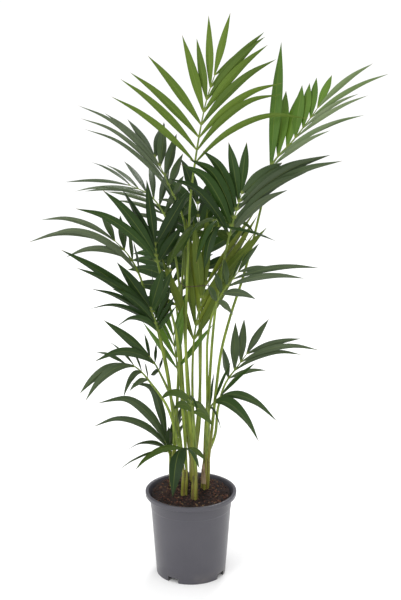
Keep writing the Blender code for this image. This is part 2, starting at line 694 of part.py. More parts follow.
def add_frond(frond, stalk, leaflets, finish):
    """The frond's mesh: the stalk's rings, with each leaflet grown out of the midrib's side."""
    shape = bmesh.new()
    rings = [[shape.verts.new(corner) for corner in stalk.ring(index)] for index in range(len(stalk.frames))]
    tip = shape.verts.new(stalk.tip)
    foot = shape.verts.new(sum((vertex.co for vertex in rings[0]), Vector()) / 4)
    for corner in range(4):
        after = (corner + 1) % 4
        shape.faces.new((rings[0][corner], rings[0][after], foot))
        shape.faces.new((rings[-1][corner], rings[-1][after], tip))
    for index, (low, high) in enumerate(itertools.pairwise(rings)):
        root = index >= stalk.first_root and (index - stalk.first_root) % 2 == 0
        for corner in range(4):
            after = (corner + 1) % 4
            if not root or corner in (0, 2):
                shape.faces.new((low[corner], low[after], high[after], high[corner]))
    for (pair, side), leaflet in leaflets.items():
        index = stalk.first_root + 2 * pair
        upper, lower = SIDE_CORNERS[side]
        points, faces = leaflet.shell()
        corners = [rings[index][upper], rings[index + 1][upper], rings[index + 1][lower], rings[index][lower]]
        corners += [shape.verts.new(point) for point in points[leaflet.ROOT_POINTS:]]
        for face in faces:
            shape.faces.new([corners[corner] for corner in face])
    bmesh.ops.triangulate(shape, faces=[face for face in shape.faces if len(face.verts) > 3])
    return add_object(frond.name, mesh_from(frond.name, shape, smooth=False), finish)


def place_stalks(crowns):
    """Every frond's stalk: feet ranged round their crowns, routes eased aside where two would touch."""
    placed = {}
    for stem in STEMS:
        fronds = [frond for frond in FRONDS if frond.stem == stem.name]
        ring = crowns[stem.name][1]
        crown = Vector((*stem.crown, stem.height + FIT))
        ways = {frond.name: (Vector(frond.route[0]) - crown).to_2d() for frond in fronds}
        fronds.sort(key=lambda frond: math.atan2(*ways[frond.name].yx))
        turns = [2 * math.pi * index / max(len(fronds), 2) for index in range(len(fronds))]
        drift = sum(
            (Matrix.Rotation(-turn, 2) @ ways[frond.name].normalized() for frond, turn in zip(fronds, turns)),
            Vector((0.0, 0.0)),
        )
        lean = math.atan2(drift.y, drift.x)
        for frond, turn in zip(fronds, turns):
            foot = crown + Vector((math.cos(turn + lean), math.sin(turn + lean), 0.0)) * ring
            placed[frond.name] = (foot, foot + UP * STALK_RISE)
    steps = (0.0, 0.003, -0.003, 0.006, -0.006, 0.009, -0.009, 0.012, -0.012, 0.016, -0.016)
    shifts = sorted(itertools.product(steps, steps), key=lambda shift: 2 * abs(shift[0]) + abs(shift[1]))
    soil = Vector((0.0, 0.0, SOIL_TOP))
    stalks, solids = {}, []
    for frond in FRONDS:
        for shift in shifts:
            aside = Vector((*shift, 0.0))
            last = len(frond.route) - 1
            points = [
                Vector(point) + aside * (1 - index / last) for index, point in enumerate(frond.route)
            ]
            stalk = Stalk(frond, [soil + point for point in (*placed[frond.name], *points)])
            guard = stalk.solid(STALK_GUARD)
            if not any(guard.meets(solid) for solid in solids):
                break
        stalks[frond.name] = stalk
        solids.append(stalk.solid())
    return stalks


def add_tie(stalks, finish):
    """A thin ring drawn round the stalks that pass near its middle."""
    height = SOIL_TOP + TIE_HEIGHT
    middle = Vector(TIE_MIDDLE)
    around = []
    for stalk in stalks.values():
        for (low, *_), (high, *_) in itertools.pairwise(stalk.frames):
            if low.z <= height < high.z:
                centre = low.lerp(high, (height - low.z) / (high.z - low.z)).to_2d()
                if (centre - middle).length < TIE_REACH:
                    reach = STALK_RADIUS * math.sqrt(2) + TIE_RADIUS + 2 * FIT
                    around += [
                        centre + Vector((math.cos(turn), math.sin(turn))) * reach
                        for turn in (2 * math.pi * step / 10 for step in range(10))
                    ]
    loop = [around[index] for index in convex_hull_2d(around)]
    curve = bpy.data.curves.new("plant_tie", "CURVE")
    curve.dimensions = "3D"
    curve.bevel_depth = TIE_RADIUS
    curve.bevel_resolution = 2
    spline = curve.splines.new("POLY")
    spline.points.add(len(loop) - 1)
    spline.use_cyclic_u = True
    for point, place in zip(spline.points, loop):
        point.co = (place.x, place.y, height, 1.0)
    return add_object("plant_tie", curve, finish)


def solid_of(made):
    """The evaluated mesh of an object as a solid to stay clear of."""
    graph = bpy.context.evaluated_depsgraph_get()
    mesh = made.evaluated_get(graph).to_mesh()
    return Solid([vertex.co.copy() for vertex in mesh.vertices], [tuple(face.vertices) for face in mesh.polygons])


def main():
    for thing in list(bpy.data.objects):
        bpy.data.objects.remove(thing)
    pot = add_pot(material("pot grey", (0.105, 0.105, 0.118), 0.45))
    soil = add_soil(material("soil brown", (0.022, 0.012, 0.009), 0.95))
    cane = material("cane tan", (0.28, 0.24, 0.10), 0.6)
    green = material("leaf green", (0.035, 0.085, 0.018), 0.4)
    crowns = {
        stem.name: crown_of(stem, sum(frond.stem == stem.name for frond in FRONDS)) for stem in STEMS
    }
    fixed = [pot, soil, *(add_stem(stem, crowns[stem.name][0], cane) for stem in STEMS)]
    stalks = place_stalks(crowns)
    fixed.append(add_tie(stalks, material("tie brown", (0.03, 0.02, 0.015), 0.7)))
    bpy.context.view_layer.update()
    placed = [solid_of(made) for made in fixed]
    stalk_solids = {name: stalk.solid() for name, stalk in stalks.items()}
    for frond in FRONDS:
        own = [stalk_solids[frond.name]]
        others = placed + [solid for name, solid in stalk_solids.items() if name != frond.name]
        leaflets = {}
        for pair, side in itertools.product(range(frond.pairs), (-1, 1)):
            leaflet = grow_leaflet(frond, stalks[frond.name], pair, side, own, others)
            leaflets[pair, side] = leaflet
            own.append(leaflet.guard(whole=False))
        add_frond(frond, stalks[frond.name], leaflets, green)
        placed += [leaflet.guard(whole=True) for leaflet in leaflets.values()]


main()
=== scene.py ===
"""The looks of a potted Kentia palm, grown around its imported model.

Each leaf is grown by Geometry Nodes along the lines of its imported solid. The pot, the compost, the canes and
the tie are built in the places of theirs. Metres, +Z up, and the front of the plant faces -Y.
"""

import logging
import math
import random
from collections.abc import Iterable, Mapping, Sequence
from dataclasses import dataclass, field
from enum import Enum

import bmesh
import bpy
import numpy as np
from mathutils import Matrix, Vector, noise
from mathutils.geometry import convex_hull_2d

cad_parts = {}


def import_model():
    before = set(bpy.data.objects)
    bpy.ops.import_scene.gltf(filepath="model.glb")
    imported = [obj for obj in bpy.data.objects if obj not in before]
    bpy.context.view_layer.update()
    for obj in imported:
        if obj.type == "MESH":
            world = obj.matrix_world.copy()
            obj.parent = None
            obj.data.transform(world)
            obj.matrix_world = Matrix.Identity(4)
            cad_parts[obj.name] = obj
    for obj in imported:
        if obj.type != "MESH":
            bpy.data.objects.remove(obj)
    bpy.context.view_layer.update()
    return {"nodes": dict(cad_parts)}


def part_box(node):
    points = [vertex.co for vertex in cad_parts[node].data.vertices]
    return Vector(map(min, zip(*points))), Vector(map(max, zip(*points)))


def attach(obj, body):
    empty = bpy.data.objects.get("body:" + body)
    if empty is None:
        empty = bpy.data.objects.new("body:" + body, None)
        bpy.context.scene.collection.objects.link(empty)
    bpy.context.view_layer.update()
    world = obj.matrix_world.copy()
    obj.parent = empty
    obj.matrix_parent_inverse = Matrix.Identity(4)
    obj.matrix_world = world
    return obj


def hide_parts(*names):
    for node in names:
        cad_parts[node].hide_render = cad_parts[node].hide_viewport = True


LOG = logging.getLogger("palm")
SOLID_MERGE = 1e-5
LATHE_MERGE = 2e-6
LEAST_HALF_WIDTH = 0.00015
UP = Vector((0.0, 0.0, 1.0))
FRONT = Vector((0.0, -1.0, 0.0))
BODY = "root"

Triple = tuple[float, float, float]
Colour = Triple


# Node trees


class NodeTree:
    """A node tree, of a material or of geometry, that is built node by node."""

    def __init__(self, tree: bpy.types.NodeTree) -> None:
        """Takes the tree.

        Args:
            tree: the tree to build in.
        """
        self.tree = tree

    def node(
        self,
        kind: str,
        settings: Mapping[str, object] | None = None,
        inputs: Mapping[str | int, object] | None = None,
    ) -> bpy.types.Node:
        """Adds a node.

        Args:
            kind: the node's type.
            settings: its own settings, set first. "stops" gives a colour ramp's (place, colour) pairs.
            inputs: the values or links of its sockets, by name or number.

        Returns:
            The new node.
        """
        made = self.tree.nodes.new(kind)
        for name, setting in (settings or {}).items():
            if name == "stops":
                self.set_stops(made.color_ramp, setting)
            else:
                setattr(made, name, setting)
        for key, source in (inputs or {}).items():
            self.feed(made.inputs[key], source)
        return made

    def feed(self, socket: bpy.types.NodeSocket, source: object) -> None:
        """Links a socket to a Value or an output, or sets it to a plain value.

        Args:
            socket: the socket.
            source: a Value, an output, or a plain value.
        """
        if isinstance(source, Value):
            source = source.socket
        if isinstance(source, bpy.types.NodeSocket):
            self.tree.links.new(source, socket)
        else:
            socket.default_value = source

    @staticmethod
    def set_stops(ramp: bpy.types.ColorRamp, stops: Sequence[tuple[float, Colour]]) -> None:
        """Gives a colour ramp its stops.

        Args:
            ramp: the ramp.
            stops: each stop's place from 0 to 1 and colour.
        """
        while len(ramp.elements) < len(stops):
            ramp.elements.new(1.0)
        for element, (place, colour) in zip(ramp.elements, stops):
            element.position = place
            element.color = (*colour, 1.0)

    def value(self, kind: str, output: str | int = 0, **details: object) -> "Value":
        """A node's output as a Value.

        Args:
            kind: the node's type.
            output: the output's name or number.
            details: the settings and inputs of node().

        Returns:
            The output.
        """
        return Value(self, self.node(kind, **details).outputs[output])

    def vector(self, x: object, y: object, z: object = 0.0) -> bpy.types.NodeSocket:
        """A vector of three numbers."""
        return self.node("ShaderNodeCombineXYZ", inputs={0: x, 1: y, 2: z}).outputs[0]

    def flat_noise(self, x: object, y: object, detail: float) -> "Value":
        """Noise from 0 to 1 over a plane of two numbers.

        Args:
            x, y: the place on the plane.
            detail: how many finer layers the noise has.

        Returns:
            The noise.
        """
        return self.value(
            "ShaderNodeTexNoise", settings={"noise_dimensions": "2D"},
            inputs={"Vector": self.vector(x, y), "Scale": 1.0, "Detail": detail},
        )


@dataclass(frozen=True)
class Value:
    """A number that varies over a surface. Arithmetic on it adds Math nodes to its tree."""

    tree: NodeTree
    socket: bpy.types.NodeSocket

    def math(self, operation: str, first: object, second: object = 0.0) -> "Value":
        """The result of a Math node on two values or numbers."""
        inputs = {0: first, 1: second}
        return self.tree.value("ShaderNodeMath", settings={"operation": operation}, inputs=inputs)

    def __add__(self, other: object) -> "Value":
        """The sum."""
        return self.math("ADD", self, other)

    __radd__ = __add__

    def __sub__(self, other: object) -> "Value":
        """The difference."""
        return self.math("SUBTRACT", self, other)

    def __rsub__(self, other: object) -> "Value":
        """The difference from another number."""
        return self.math("SUBTRACT", other, self)

    def __mul__(self, other: object) -> "Value":
        """The product."""
        return self.math("MULTIPLY", self, other)

    __rmul__ = __mul__

    def __pow__(self, other: object) -> "Value":
        """The power."""
        return self.math("POWER", self, other)

    def __abs__(self) -> "Value":
        """The size without its sign."""
        return self.math("ABSOLUTE", self)

    def wave(self) -> "Value":
        """The sine."""
        return self.math("SINE", self)

    def bell(self, sharpness: float) -> "Value":
        """A bump that is 1 where the value is 0 and falls off to both sides."""
        return self.math("POWER", math.e, -1.0 * (self * sharpness) * (self * sharpness))

    def above(self, limit: object) -> "Value":
        """1 where the value is above a limit, 0 elsewhere."""
        return self.math("GREATER_THAN", self, limit)

    def ease(self, low: float, high: float) -> "Value":
        """A smooth step from 0 at the low value to 1 at the high one.

        Args:
            low: the value at which the step starts.
            high: the value at which it ends.

        Returns:
            The step.
        """
        return self.tree.value(
            "ShaderNodeMapRange", settings={"interpolation_type": "SMOOTHSTEP"},
            inputs={"Value": self, "From Min": low, "From Max": high},
        )


class Surface(NodeTree):
    """A material's tree round its Principled shader."""

    def __init__(self, name: str, roughness: float, specular: float = 0.5) -> None:
        """Makes the material and finds its shader.

        Args:
            name: the material's name.
            roughness: the even roughness.
            specular: the even specular level.
        """
        self.material = bpy.data.materials.new(name)
        self.material.use_nodes = True
        super().__init__(self.material.node_tree)
        self.shader = self.tree.nodes["Principled BSDF"]
        self.shader.inputs["Roughness"].default_value = roughness
        self.shader.inputs["Specular IOR Level"].default_value = specular

    def attribute(self, name: str) -> Value:
        """A number stored on the mesh."""
        return self.value("ShaderNodeAttribute", "Fac", settings={"attribute_name": name})

    def place(self, scale: Triple = (1.0, 1.0, 1.0)) -> bpy.types.NodeSocket:
        """The point of the surface in the object's own space, scaled."""
        here = self.node("ShaderNodeTexCoord").outputs["Object"]
        return self.node("ShaderNodeMapping", inputs={"Vector": here, "Scale": scale}).outputs[0]

    def grain(self, scale: float, detail: float = 2.0, stretch: Triple = (1.0, 1.0, 1.0)) -> Value:
        """Noise from 0 to 1 over the surface.

        Args:
            scale: how fine the noise is.
            detail: how many finer layers it has.
            stretch: how much finer it is along each axis.

        Returns:
            The noise.
        """
        return self.value(
            "ShaderNodeTexNoise", inputs={"Vector": self.place(stretch), "Scale": scale, "Detail": detail}
        )

    def mix(self, share: object, first: object, second: object) -> bpy.types.NodeSocket:
        """The colour between two, at a share.

        Args:
            share: how much of the second colour shows.
            first, second: the two colours, or the outputs that give them.

        Returns:
            The mixed colour.
        """
        colours = [(*side, 1.0) if isinstance(side, tuple) else side for side in (first, second)]
        return self.node(
            "ShaderNodeMix", settings={"data_type": "RGBA"}, inputs={0: share, 6: colours[0], 7: colours[1]}
        ).outputs[2]

    def ramp(self, share: object, stops: Sequence[tuple[float, Colour]]) -> bpy.types.NodeSocket:
        """The colour of a ramp at a share."""
        return self.node("ShaderNodeValToRGB", settings={"stops": stops}, inputs={0: share}).outputs[0]

    def finish(
        self,
        colour: object,
        roughness: object | None = None,
        height: object | None = None,
        depth: float = 0.0005,
    ) -> bpy.types.Material:
        """Feeds the shader.

        Args:
            colour: the base colour.
            roughness: the varying roughness, if any.
            height: the relief from 0 to 1, if any.
            depth: what a height of 1 stands for, in metres.

        Returns:
            The finished material.
        """
        self.feed(self.shader.inputs["Base Color"], (*colour, 1.0) if isinstance(colour, tuple) else colour)
        if roughness is not None:
            self.feed(self.shader.inputs["Roughness"], roughness)
        if height is not None:
            bump = self.node("ShaderNodeBump", inputs={"Strength": 1.0, "Distance": depth, "Height": height})
            self.feed(self.shader.inputs["Normal"], bump.outputs[0])
        return self.material


class GrowthTree(NodeTree):
    """A Geometry Nodes tree with named inputs, which ends in Realize Instances and Set Material."""

    def __init__(self, name: str, sizes: Mapping[str, tuple[str, object]]) -> None:
        """Makes the tree and its named inputs.

        Args:
            name: the tree's name.
            sizes: each input's socket type and value, by its name.
        """
        super().__init__(bpy.data.node_groups.new(name, "GeometryNodeTree"))
        face = self.tree.interface
        face.new_socket("Geometry", in_out="OUTPUT", socket_type="NodeSocketGeometry")
        face.new_socket("Geometry", in_out="INPUT", socket_type="NodeSocketGeometry")
        self.identifiers: dict[str, str] = {}
        for label, (kind, start) in sizes.items():
            socket = face.new_socket(label, in_out="INPUT", socket_type=f"NodeSocket{kind}")
            if start is not None:
                socket.default_value = start
            self.identifiers[label] = socket.identifier
        self.entry = self.node("NodeGroupInput")

    def size(self, label: str) -> Value:
        """A named input."""
        return Value(self, self.entry.outputs[label])

    def stored(self, name: str, kind: str = "FLOAT") -> Value:
        """A named attribute of the geometry.

        Args:
            name: the attribute's name.
            kind: its type.

        Returns:
            The attribute.
        """
        return self.value(
            "GeometryNodeInputNamedAttribute", settings={"data_type": kind}, inputs={"Name": name}
        )

    def store(self, geometry: object, name: str, value: object) -> bpy.types.NodeSocket:
        """The geometry with a number stored on its points.

        Args:
            geometry: the geometry.
            name: the attribute's name.
            value: the number.

        Returns:
            The geometry.
        """
        return self.node(
            "GeometryNodeStoreNamedAttribute", settings={"data_type": "FLOAT", "domain": "POINT"},
            inputs={"Geometry": geometry, "Name": name, "Value": value},
        ).outputs[0]

    def position(self) -> tuple[Value, Value, Value]:
        """The three numbers of a point's place.

        Returns:
            The X, Y and Z of each point.
        """
        here = self.node("GeometryNodeInputPosition").outputs[0]
        parts = self.node("ShaderNodeSeparateXYZ", inputs={0: here})
        return tuple(Value(self, parts.outputs[axis]) for axis in range(3))

    def scaled(self, vector: object, factor: object) -> bpy.types.NodeSocket:
        """A vector times a number.

        Args:
            vector: the vector.
            factor: the number.

        Returns:
            The longer or shorter vector.
        """
        return self.node(
            "ShaderNodeVectorMath", settings={"operation": "SCALE"}, inputs={0: vector, "Scale": factor}
        ).outputs[0]

    def chance(self, low: object, high: object, seed: object) -> Value:
        """An even random number for each element."""
        return self.value("FunctionNodeRandomValue", 1, inputs={2: low, 3: high, "Seed": seed})

    def join(self, pieces: Iterable[object]) -> bpy.types.NodeSocket:
        """Several geometries as one.

        Args:
            pieces: the geometries.

        Returns:
            The joined geometry.
        """
        made = self.node("GeometryNodeJoinGeometry")
        for piece in pieces:
            self.feed(made.inputs[0], piece)
        return made.outputs[0]

    def end(self, geometry: object, materials: Sequence[tuple[object, object]]) -> None:
        """Closes the tree: smooth faces, real instances, then each material on its selection.

        Args:
            geometry: what the tree has made.
            materials: each material with its selection, or None for all faces.
        """
        smooth = self.node("GeometryNodeSetShadeSmooth", inputs={"Geometry": geometry}).outputs[0]
        whole = self.node("GeometryNodeRealizeInstances", inputs={"Geometry": smooth}).outputs[0]
        for material, selection in materials:
            inputs = {"Geometry": whole, "Material": material}
            if selection is not None:
                inputs["Selection"] = selection
            whole = self.node("GeometryNodeSetMaterial", inputs=inputs).outputs[0]
        self.feed(self.node("NodeGroupOutput").inputs[0], whole)

    def grow(self, name: str, start: bpy.types.Mesh, sizes: Mapping[str, object]) -> bpy.types.Object:
        """Runs the tree on a mesh.

        Args:
            name: the piece's name.
            start: the mesh that the tree takes.
            sizes: the inputs to set, by name.

        Returns:
            A plain mesh object with the result.
        """
        seed = bpy.data.objects.new(f"{name}_start", start)
        bpy.context.scene.collection.objects.link(seed)
        modifier = seed.modifiers.new(name, "NODES")
        modifier.node_group = self.tree
        for label, size in sizes.items():
            modifier[self.identifiers[label]] = size
        graph = bpy.context.evaluated_depsgraph_get()
        grown = bpy.data.meshes.new_from_object(
            seed.evaluated_get(graph), preserve_all_data_layers=True, depsgraph=graph
        )
        bpy.data.objects.remove(seed)
        return add_piece(name, grown)


# Meshes


def add_piece(name: str, mesh: bpy.types.Mesh, *finishes: bpy.types.Material) -> bpy.types.Object:
    """An object of a mesh at the origin, in the scene, with its finishes.

    Args:
        name: the piece's name.
        mesh: its mesh.
        finishes: its materials, in the order of their numbers.

    Returns:
        The object.
    """
    mesh.name = name
    for finish in finishes:
        mesh.materials.append(finish)
    made = bpy.data.objects.new(name, mesh)
    bpy.context.scene.collection.objects.link(made)
    return made


def mesh_of(name: str, shape: bmesh.types.BMesh, smooth_angle: float = 40.0) -> bpy.types.Mesh:
    """The mesh of a closed bmesh, facing out and smooth but for its sharp edges.

    Args:
        name: the mesh's name.
        shape: the closed shape, which is freed.
        smooth_angle: the edge angle in degrees past which an edge stays sharp.

    Returns:
        The mesh.
    """
    bmesh.ops.recalc_face_normals(shape, faces=shape.faces)
    mesh = bpy.data.meshes.new(name)
    shape.to_mesh(mesh)
    shape.free()
    mesh.shade_smooth()
    mesh.set_sharp_from_angle(angle=math.radians(smooth_angle))
    return mesh


def rounded(corners: Sequence[tuple[float, float]], radius: float, steps: int = 4) -> list[Vector]:
    """A line of (radius, height) corners with each inner corner turned into a small arc.

    Args:
        corners: the corners.
        radius: the arcs' radius, or less where the corners are close.
        steps: how many pieces an arc has.

    Returns:
        The points of the line.
    """
    points = [Vector(corner) for corner in corners]
    line = [points[0]]
    for before, corner, after in zip(points, points[1:], points[2:]):
        back, on = before - corner, after - corner
        reach = min(radius, 0.45 * back.length, 0.45 * on.length)
        start, end = corner + back.normalized() * reach, corner + on.normalized() * reach
        for step in range(steps + 1):
            share = step / steps
            line.append(start.lerp(corner, share).lerp(corner.lerp(end, share), share))
    return [*line, points[-1]]


def turned(profile: Sequence[Vector], steps: int) -> bmesh.types.BMesh:
    """A solid turned round the Z axis from a line that starts and ends on the axis.

    Args:
        profile: the line's (radius, height) points.
        steps: how many sides the solid has.

    Returns:
        The solid.
    """
    shape = bmesh.new()
    points = [shape.verts.new((point[0], 0.0, point[1])) for point in profile]
    edges = [shape.edges.new(pair) for pair in zip(points, points[1:])]
    bmesh.ops.spin(
        shape, geom=points + edges, cent=(0, 0, 0), axis=UP, angle=2 * math.pi, steps=steps,
        use_duplicate=False,
    )
    bmesh.ops.remove_doubles(shape, verts=shape.verts, dist=LATHE_MERGE)
    return shape


def smooth_through(marks: np.ndarray, rows: np.ndarray, at: np.ndarray) -> np.ndarray:
    """Rows of numbers read from a smooth line through given ones.

    Args:
        marks: the distance of each given row.
        rows: the given rows.
        at: the distances to read.

    Returns:
        One row for each distance.
    """
    slopes = np.diff(rows, axis=0) / np.diff(marks)[:, None]
    gaps = np.diff(marks)
    tangents = np.vstack([
        slopes[:1],
        (slopes[:-1] * gaps[1:, None] + slopes[1:] * gaps[:-1, None]) / (gaps[1:] + gaps[:-1])[:, None],
        slopes[-1:],
    ])
    index = np.clip(np.searchsorted(marks, at, side="right") - 1, 0, len(gaps) - 1)
    width = gaps[index][:, None]
    share = (at[:, None] - marks[index][:, None]) / width
    square, cube = share**2, share**3
    return (
        (2 * cube - 3 * square + 1) * rows[index]
        + (cube - 2 * square + share) * width * tangents[index]
        + (3 * square - 2 * cube) * rows[index + 1]
        + (cube - square) * width * tangents[index + 1]
    )


# Finishes


@dataclass(frozen=True)
class LeafFinish:
    """The living skin of leaflets: a ribbed, glossy upper face, a paler under face, and a grey-green painted
    sheen on chosen leaflets.
    """

    name: str
    upper: Colour
    deep: Colour
    under: Colour
    roughness: float = 0.36
    specular: float = 0.5
    tip: Colour = (0.20, 0.15, 0.05)
    base: Colour = (0.22, 0.27, 0.05)
    # painted sheen: the grey-green that stands for light reflected off glossy leaflet tops
    painted_sheen: Colour = (0.200, 0.235, 0.150)

    def build(self) -> bpy.types.Material:
        """Makes the material: mottled greens, a grey-green painted sheen on chosen leaflets, paler ribs and
        midrib, and a dry tip on some leaflets.

        Returns:
            The material.
        """
        skin = Surface(self.name, self.roughness, self.specular)
        across, along = skin.attribute("across"), skin.attribute("along")
        face, tone = skin.attribute("face_up"), skin.attribute("tone")
        cloud = skin.grain(14.0, 3.0)
        streaks = skin.flat_noise(across * 9.0, along * 3.0 + tone * 40.0, detail=2.0)
        ribs = (across * 34.0).wave()
        mottle = cloud * 0.5 + streaks * 0.4 + tone * 0.5 - 0.2
        colour = skin.mix(mottle.ease(0.1, 0.9), self.deep, self.upper)
        colour = skin.mix((1.0 - face.ease(-0.2, 0.2)) * 0.85, colour, self.under)
        # painted sheen: grey-green mixed over each leaflet by its per-side share, standing in for reflected
        # light
        colour = skin.mix(skin.attribute("painted_sheen") * (cloud * 0.6 + 0.6), colour, self.painted_sheen)
        colour = skin.mix(across.bell(22.0) * 0.30, colour, self.base)
        colour = skin.mix(ribs.ease(0.2, 1.0) * 0.12, colour, self.under)
        colour = skin.mix((1.0 - along.ease(0.0, 0.07)) * 0.8, colour, self.base)
        colour = skin.mix(along.ease(0.955, 0.995) * tone.ease(0.35, 0.6), colour, self.tip)
        height = ribs * 0.3 + streaks * 0.4 + 0.5
        return skin.finish(colour, self.roughness - 0.06 + streaks * 0.12, height, 0.00022)


@dataclass(frozen=True)
class StalkFinish:
    """The skin of leaf stalks: yellow-green, paler at the foot, with a brown scurf of fine specks."""

    name: str
    green: Colour = (0.235, 0.310, 0.036)
    shade: Colour = (0.060, 0.105, 0.010)
    foot: Colour = (0.250, 0.232, 0.040)
    scurf: Colour = (0.07, 0.045, 0.02)

    def build(self) -> bpy.types.Material:
        """Makes the material: streaks along the stalk, a paler foot and dark specks.

        Returns:
            The material.
        """
        skin = Surface(self.name, 0.42, specular=0.36)
        along = skin.attribute("along")
        streaks = skin.grain(260.0, 3.0, (1.0, 1.0, 0.06))
        specks = skin.grain(900.0, 2.0, (1.0, 1.0, 0.35))
        colour = skin.mix(streaks.ease(0.3, 0.7) * 0.8, self.green, self.shade)
        colour = skin.mix((1.0 - along.ease(0.0, 0.16)) * 0.75, colour, self.foot)
        colour = skin.mix(along.ease(0.55, 0.95) * 0.5, colour, self.shade)
        colour = skin.mix(specks.ease(0.62, 0.72) * 0.5, colour, self.scurf)
        return skin.finish(colour, 0.36 + streaks * 0.16, streaks + specks * 0.3, 0.0003)


@dataclass(frozen=True)
class CaneFinish:
    """The fibrous skin of a cane and its dry leaf sheaths."""

    name: str
    tan: Colour
    green: Colour
    dark: Colour = (0.10, 0.065, 0.03)
    greenness: float = 0.5

    def build(self) -> bpy.types.Material:
        """Makes the material: long fibres over patches of tan and green.

        Returns:
            The material.
        """
        skin = Surface(self.name, 0.62, specular=0.35)
        fibres = skin.grain(420.0, 4.0, (1.0, 1.0, 0.05))
        patches = skin.grain(45.0, 3.0, (1.0, 1.0, 0.5))
        colour = skin.mix((patches.ease(0.35, 0.65)) * self.greenness, self.tan, self.green)
        colour = skin.mix(fibres.ease(0.48, 0.72) * 0.6, colour, self.dark)
        return skin.finish(colour, 0.5 + fibres * 0.25, fibres, 0.0006)


@dataclass(frozen=True)
class CompostFinish:
    """Moist brown compost: dark crumbs with reddish and straw-coloured ones among them."""

    name: str
    dark: Colour = (0.006, 0.003, 0.0025)
    brown: Colour = (0.030, 0.013, 0.009)
    red: Colour = (0.105, 0.040, 0.024)
    straw: Colour = (0.16, 0.115, 0.055)

    def build(self) -> bpy.types.Material:
        """Makes the material: each crumb's own tone, with fine grains over it.

        Returns:
            The material.
        """
        skin = Surface(self.name, 0.85, specular=0.3)
        tone = skin.attribute("tone")
        fine = skin.grain(700.0, 4.0)
        broad = skin.grain(38.0, 2.0)
        stops = ((0.15, self.dark), (0.50, self.brown), (0.80, self.red), (1.0, self.straw))
        colour = skin.ramp(tone * 0.85 + fine * 0.30 + broad * 0.8 - 0.50, stops)
        return skin.finish(colour, 0.7 + fine * 0.25, fine, 0.0009)


@dataclass(frozen=True)
class PotFinish:
    """Moulded grey plastic with a fine grain, light scuffs and a little dust round its foot."""

    name: str
    grey: Colour = (0.059, 0.057, 0.070)
    worn: Colour = (0.071, 0.068, 0.082)
    dust: Colour = (0.20, 0.18, 0.16)
    roughness: float = 0.30

    def build(self) -> bpy.types.Material:
        """Makes the material: a cloudy grey with worn streaks and dust near the ground.

        Returns:
            The material.
        """
        skin = Surface(self.name, self.roughness)
        grain = skin.grain(1500.0, 2.0)
        cloud = skin.grain(18.0, 4.0)
        scuffs = skin.grain(60.0, 5.0, (1.0, 1.0, 8.0))
        height = Value(skin, skin.node("ShaderNodeSeparateXYZ", inputs={0: skin.place()}).outputs[2])
        colour = skin.mix(cloud.ease(0.35, 0.75) * 0.5 + scuffs.ease(0.62, 0.75) * 0.4, self.grey, self.worn)
        colour = skin.mix((1.0 - height.ease(0.0, 0.03)) * cloud.ease(0.4, 0.7) * 0.35, colour, self.dust)
        return skin.finish(colour, self.roughness - 0.05 + cloud * 0.08 + scuffs * 0.08, grain, 0.00012)


@dataclass(frozen=True)
class CordFinish:
    """Dark brown spun fibre."""

    name: str
    brown: Colour = (0.045, 0.030, 0.018)
    light: Colour = (0.10, 0.07, 0.04)

    def build(self) -> bpy.types.Material:
        """Makes the material: light fibres in a dark strand.

        Returns:
            The material.
        """
        skin = Surface(self.name, 0.8, specular=0.3)
        fibres = skin.grain(2500.0, 2.0)
        return skin.finish(skin.mix(fibres.ease(0.4, 0.7), self.brown, self.light), None, fibres, 0.0002)


class Tone(Enum):
    """The greens of the palms' leaves, with light and shade painted in: lighter greens on the sunlit top,
    darker greens partly painted shade in the shaded middle, grey-greens partly painted sheen, and a
    yellow-green partly painted light shining through.
    """

    OLIVE = LeafFinish(
        "leaf olive", upper=(0.100, 0.165, 0.012), deep=(0.050, 0.095, 0.006), under=(0.130, 0.190, 0.024),
        roughness=0.50, specular=0.25,
    )
    BRIGHT = LeafFinish(
        "leaf bright", upper=(0.085, 0.170, 0.010), deep=(0.040, 0.105, 0.006), under=(0.120, 0.190, 0.026),
        roughness=0.48, specular=0.28,
    )
    # deep: partly the darker leaves' own deeper green and partly painted shade, where the middle of the plant
    # lies in shadow
    DEEP_PARTLY_PAINTED_SHADE = LeafFinish(
        "leaf deep green partly painted shade", upper=(0.019, 0.050, 0.005), deep=(0.005, 0.019, 0.0015),
        under=(0.055, 0.095, 0.012), roughness=0.46, specular=0.20,
    )
    # grey: a grey-green that is partly painted sheen, the light that glossy leaf tops reflect, over the
    # leaves' dark green
    GREY_PARTLY_PAINTED_SHEEN = LeafFinish(
        "leaf grey green partly painted sheen", upper=(0.036, 0.066, 0.015), deep=(0.013, 0.034, 0.005),
        under=(0.090, 0.125, 0.042), roughness=0.40, specular=0.38,
    )
    # yellow-green: partly the hanging leaves' paler undersides and partly painted light shining through them
    YELLOW_PARTLY_PAINTED_BACKLIGHT = LeafFinish(
        "leaf yellow green", upper=(0.125, 0.165, 0.010), deep=(0.045, 0.080, 0.004),
        under=(0.160, 0.185, 0.016), roughness=0.50, specular=0.25,
    )
    FRESH = LeafFinish(
        "leaf fresh green", upper=(0.095, 0.190, 0.012), deep=(0.050, 0.120, 0.006),
        under=(0.130, 0.215, 0.024), roughness=0.48, specular=0.25,
    )


# Leaves


@dataclass(frozen=True)
class Station:
    """A place on a line that a surface is grown along."""

    point: Vector
    upper: Vector
    half_width: float
    along: float


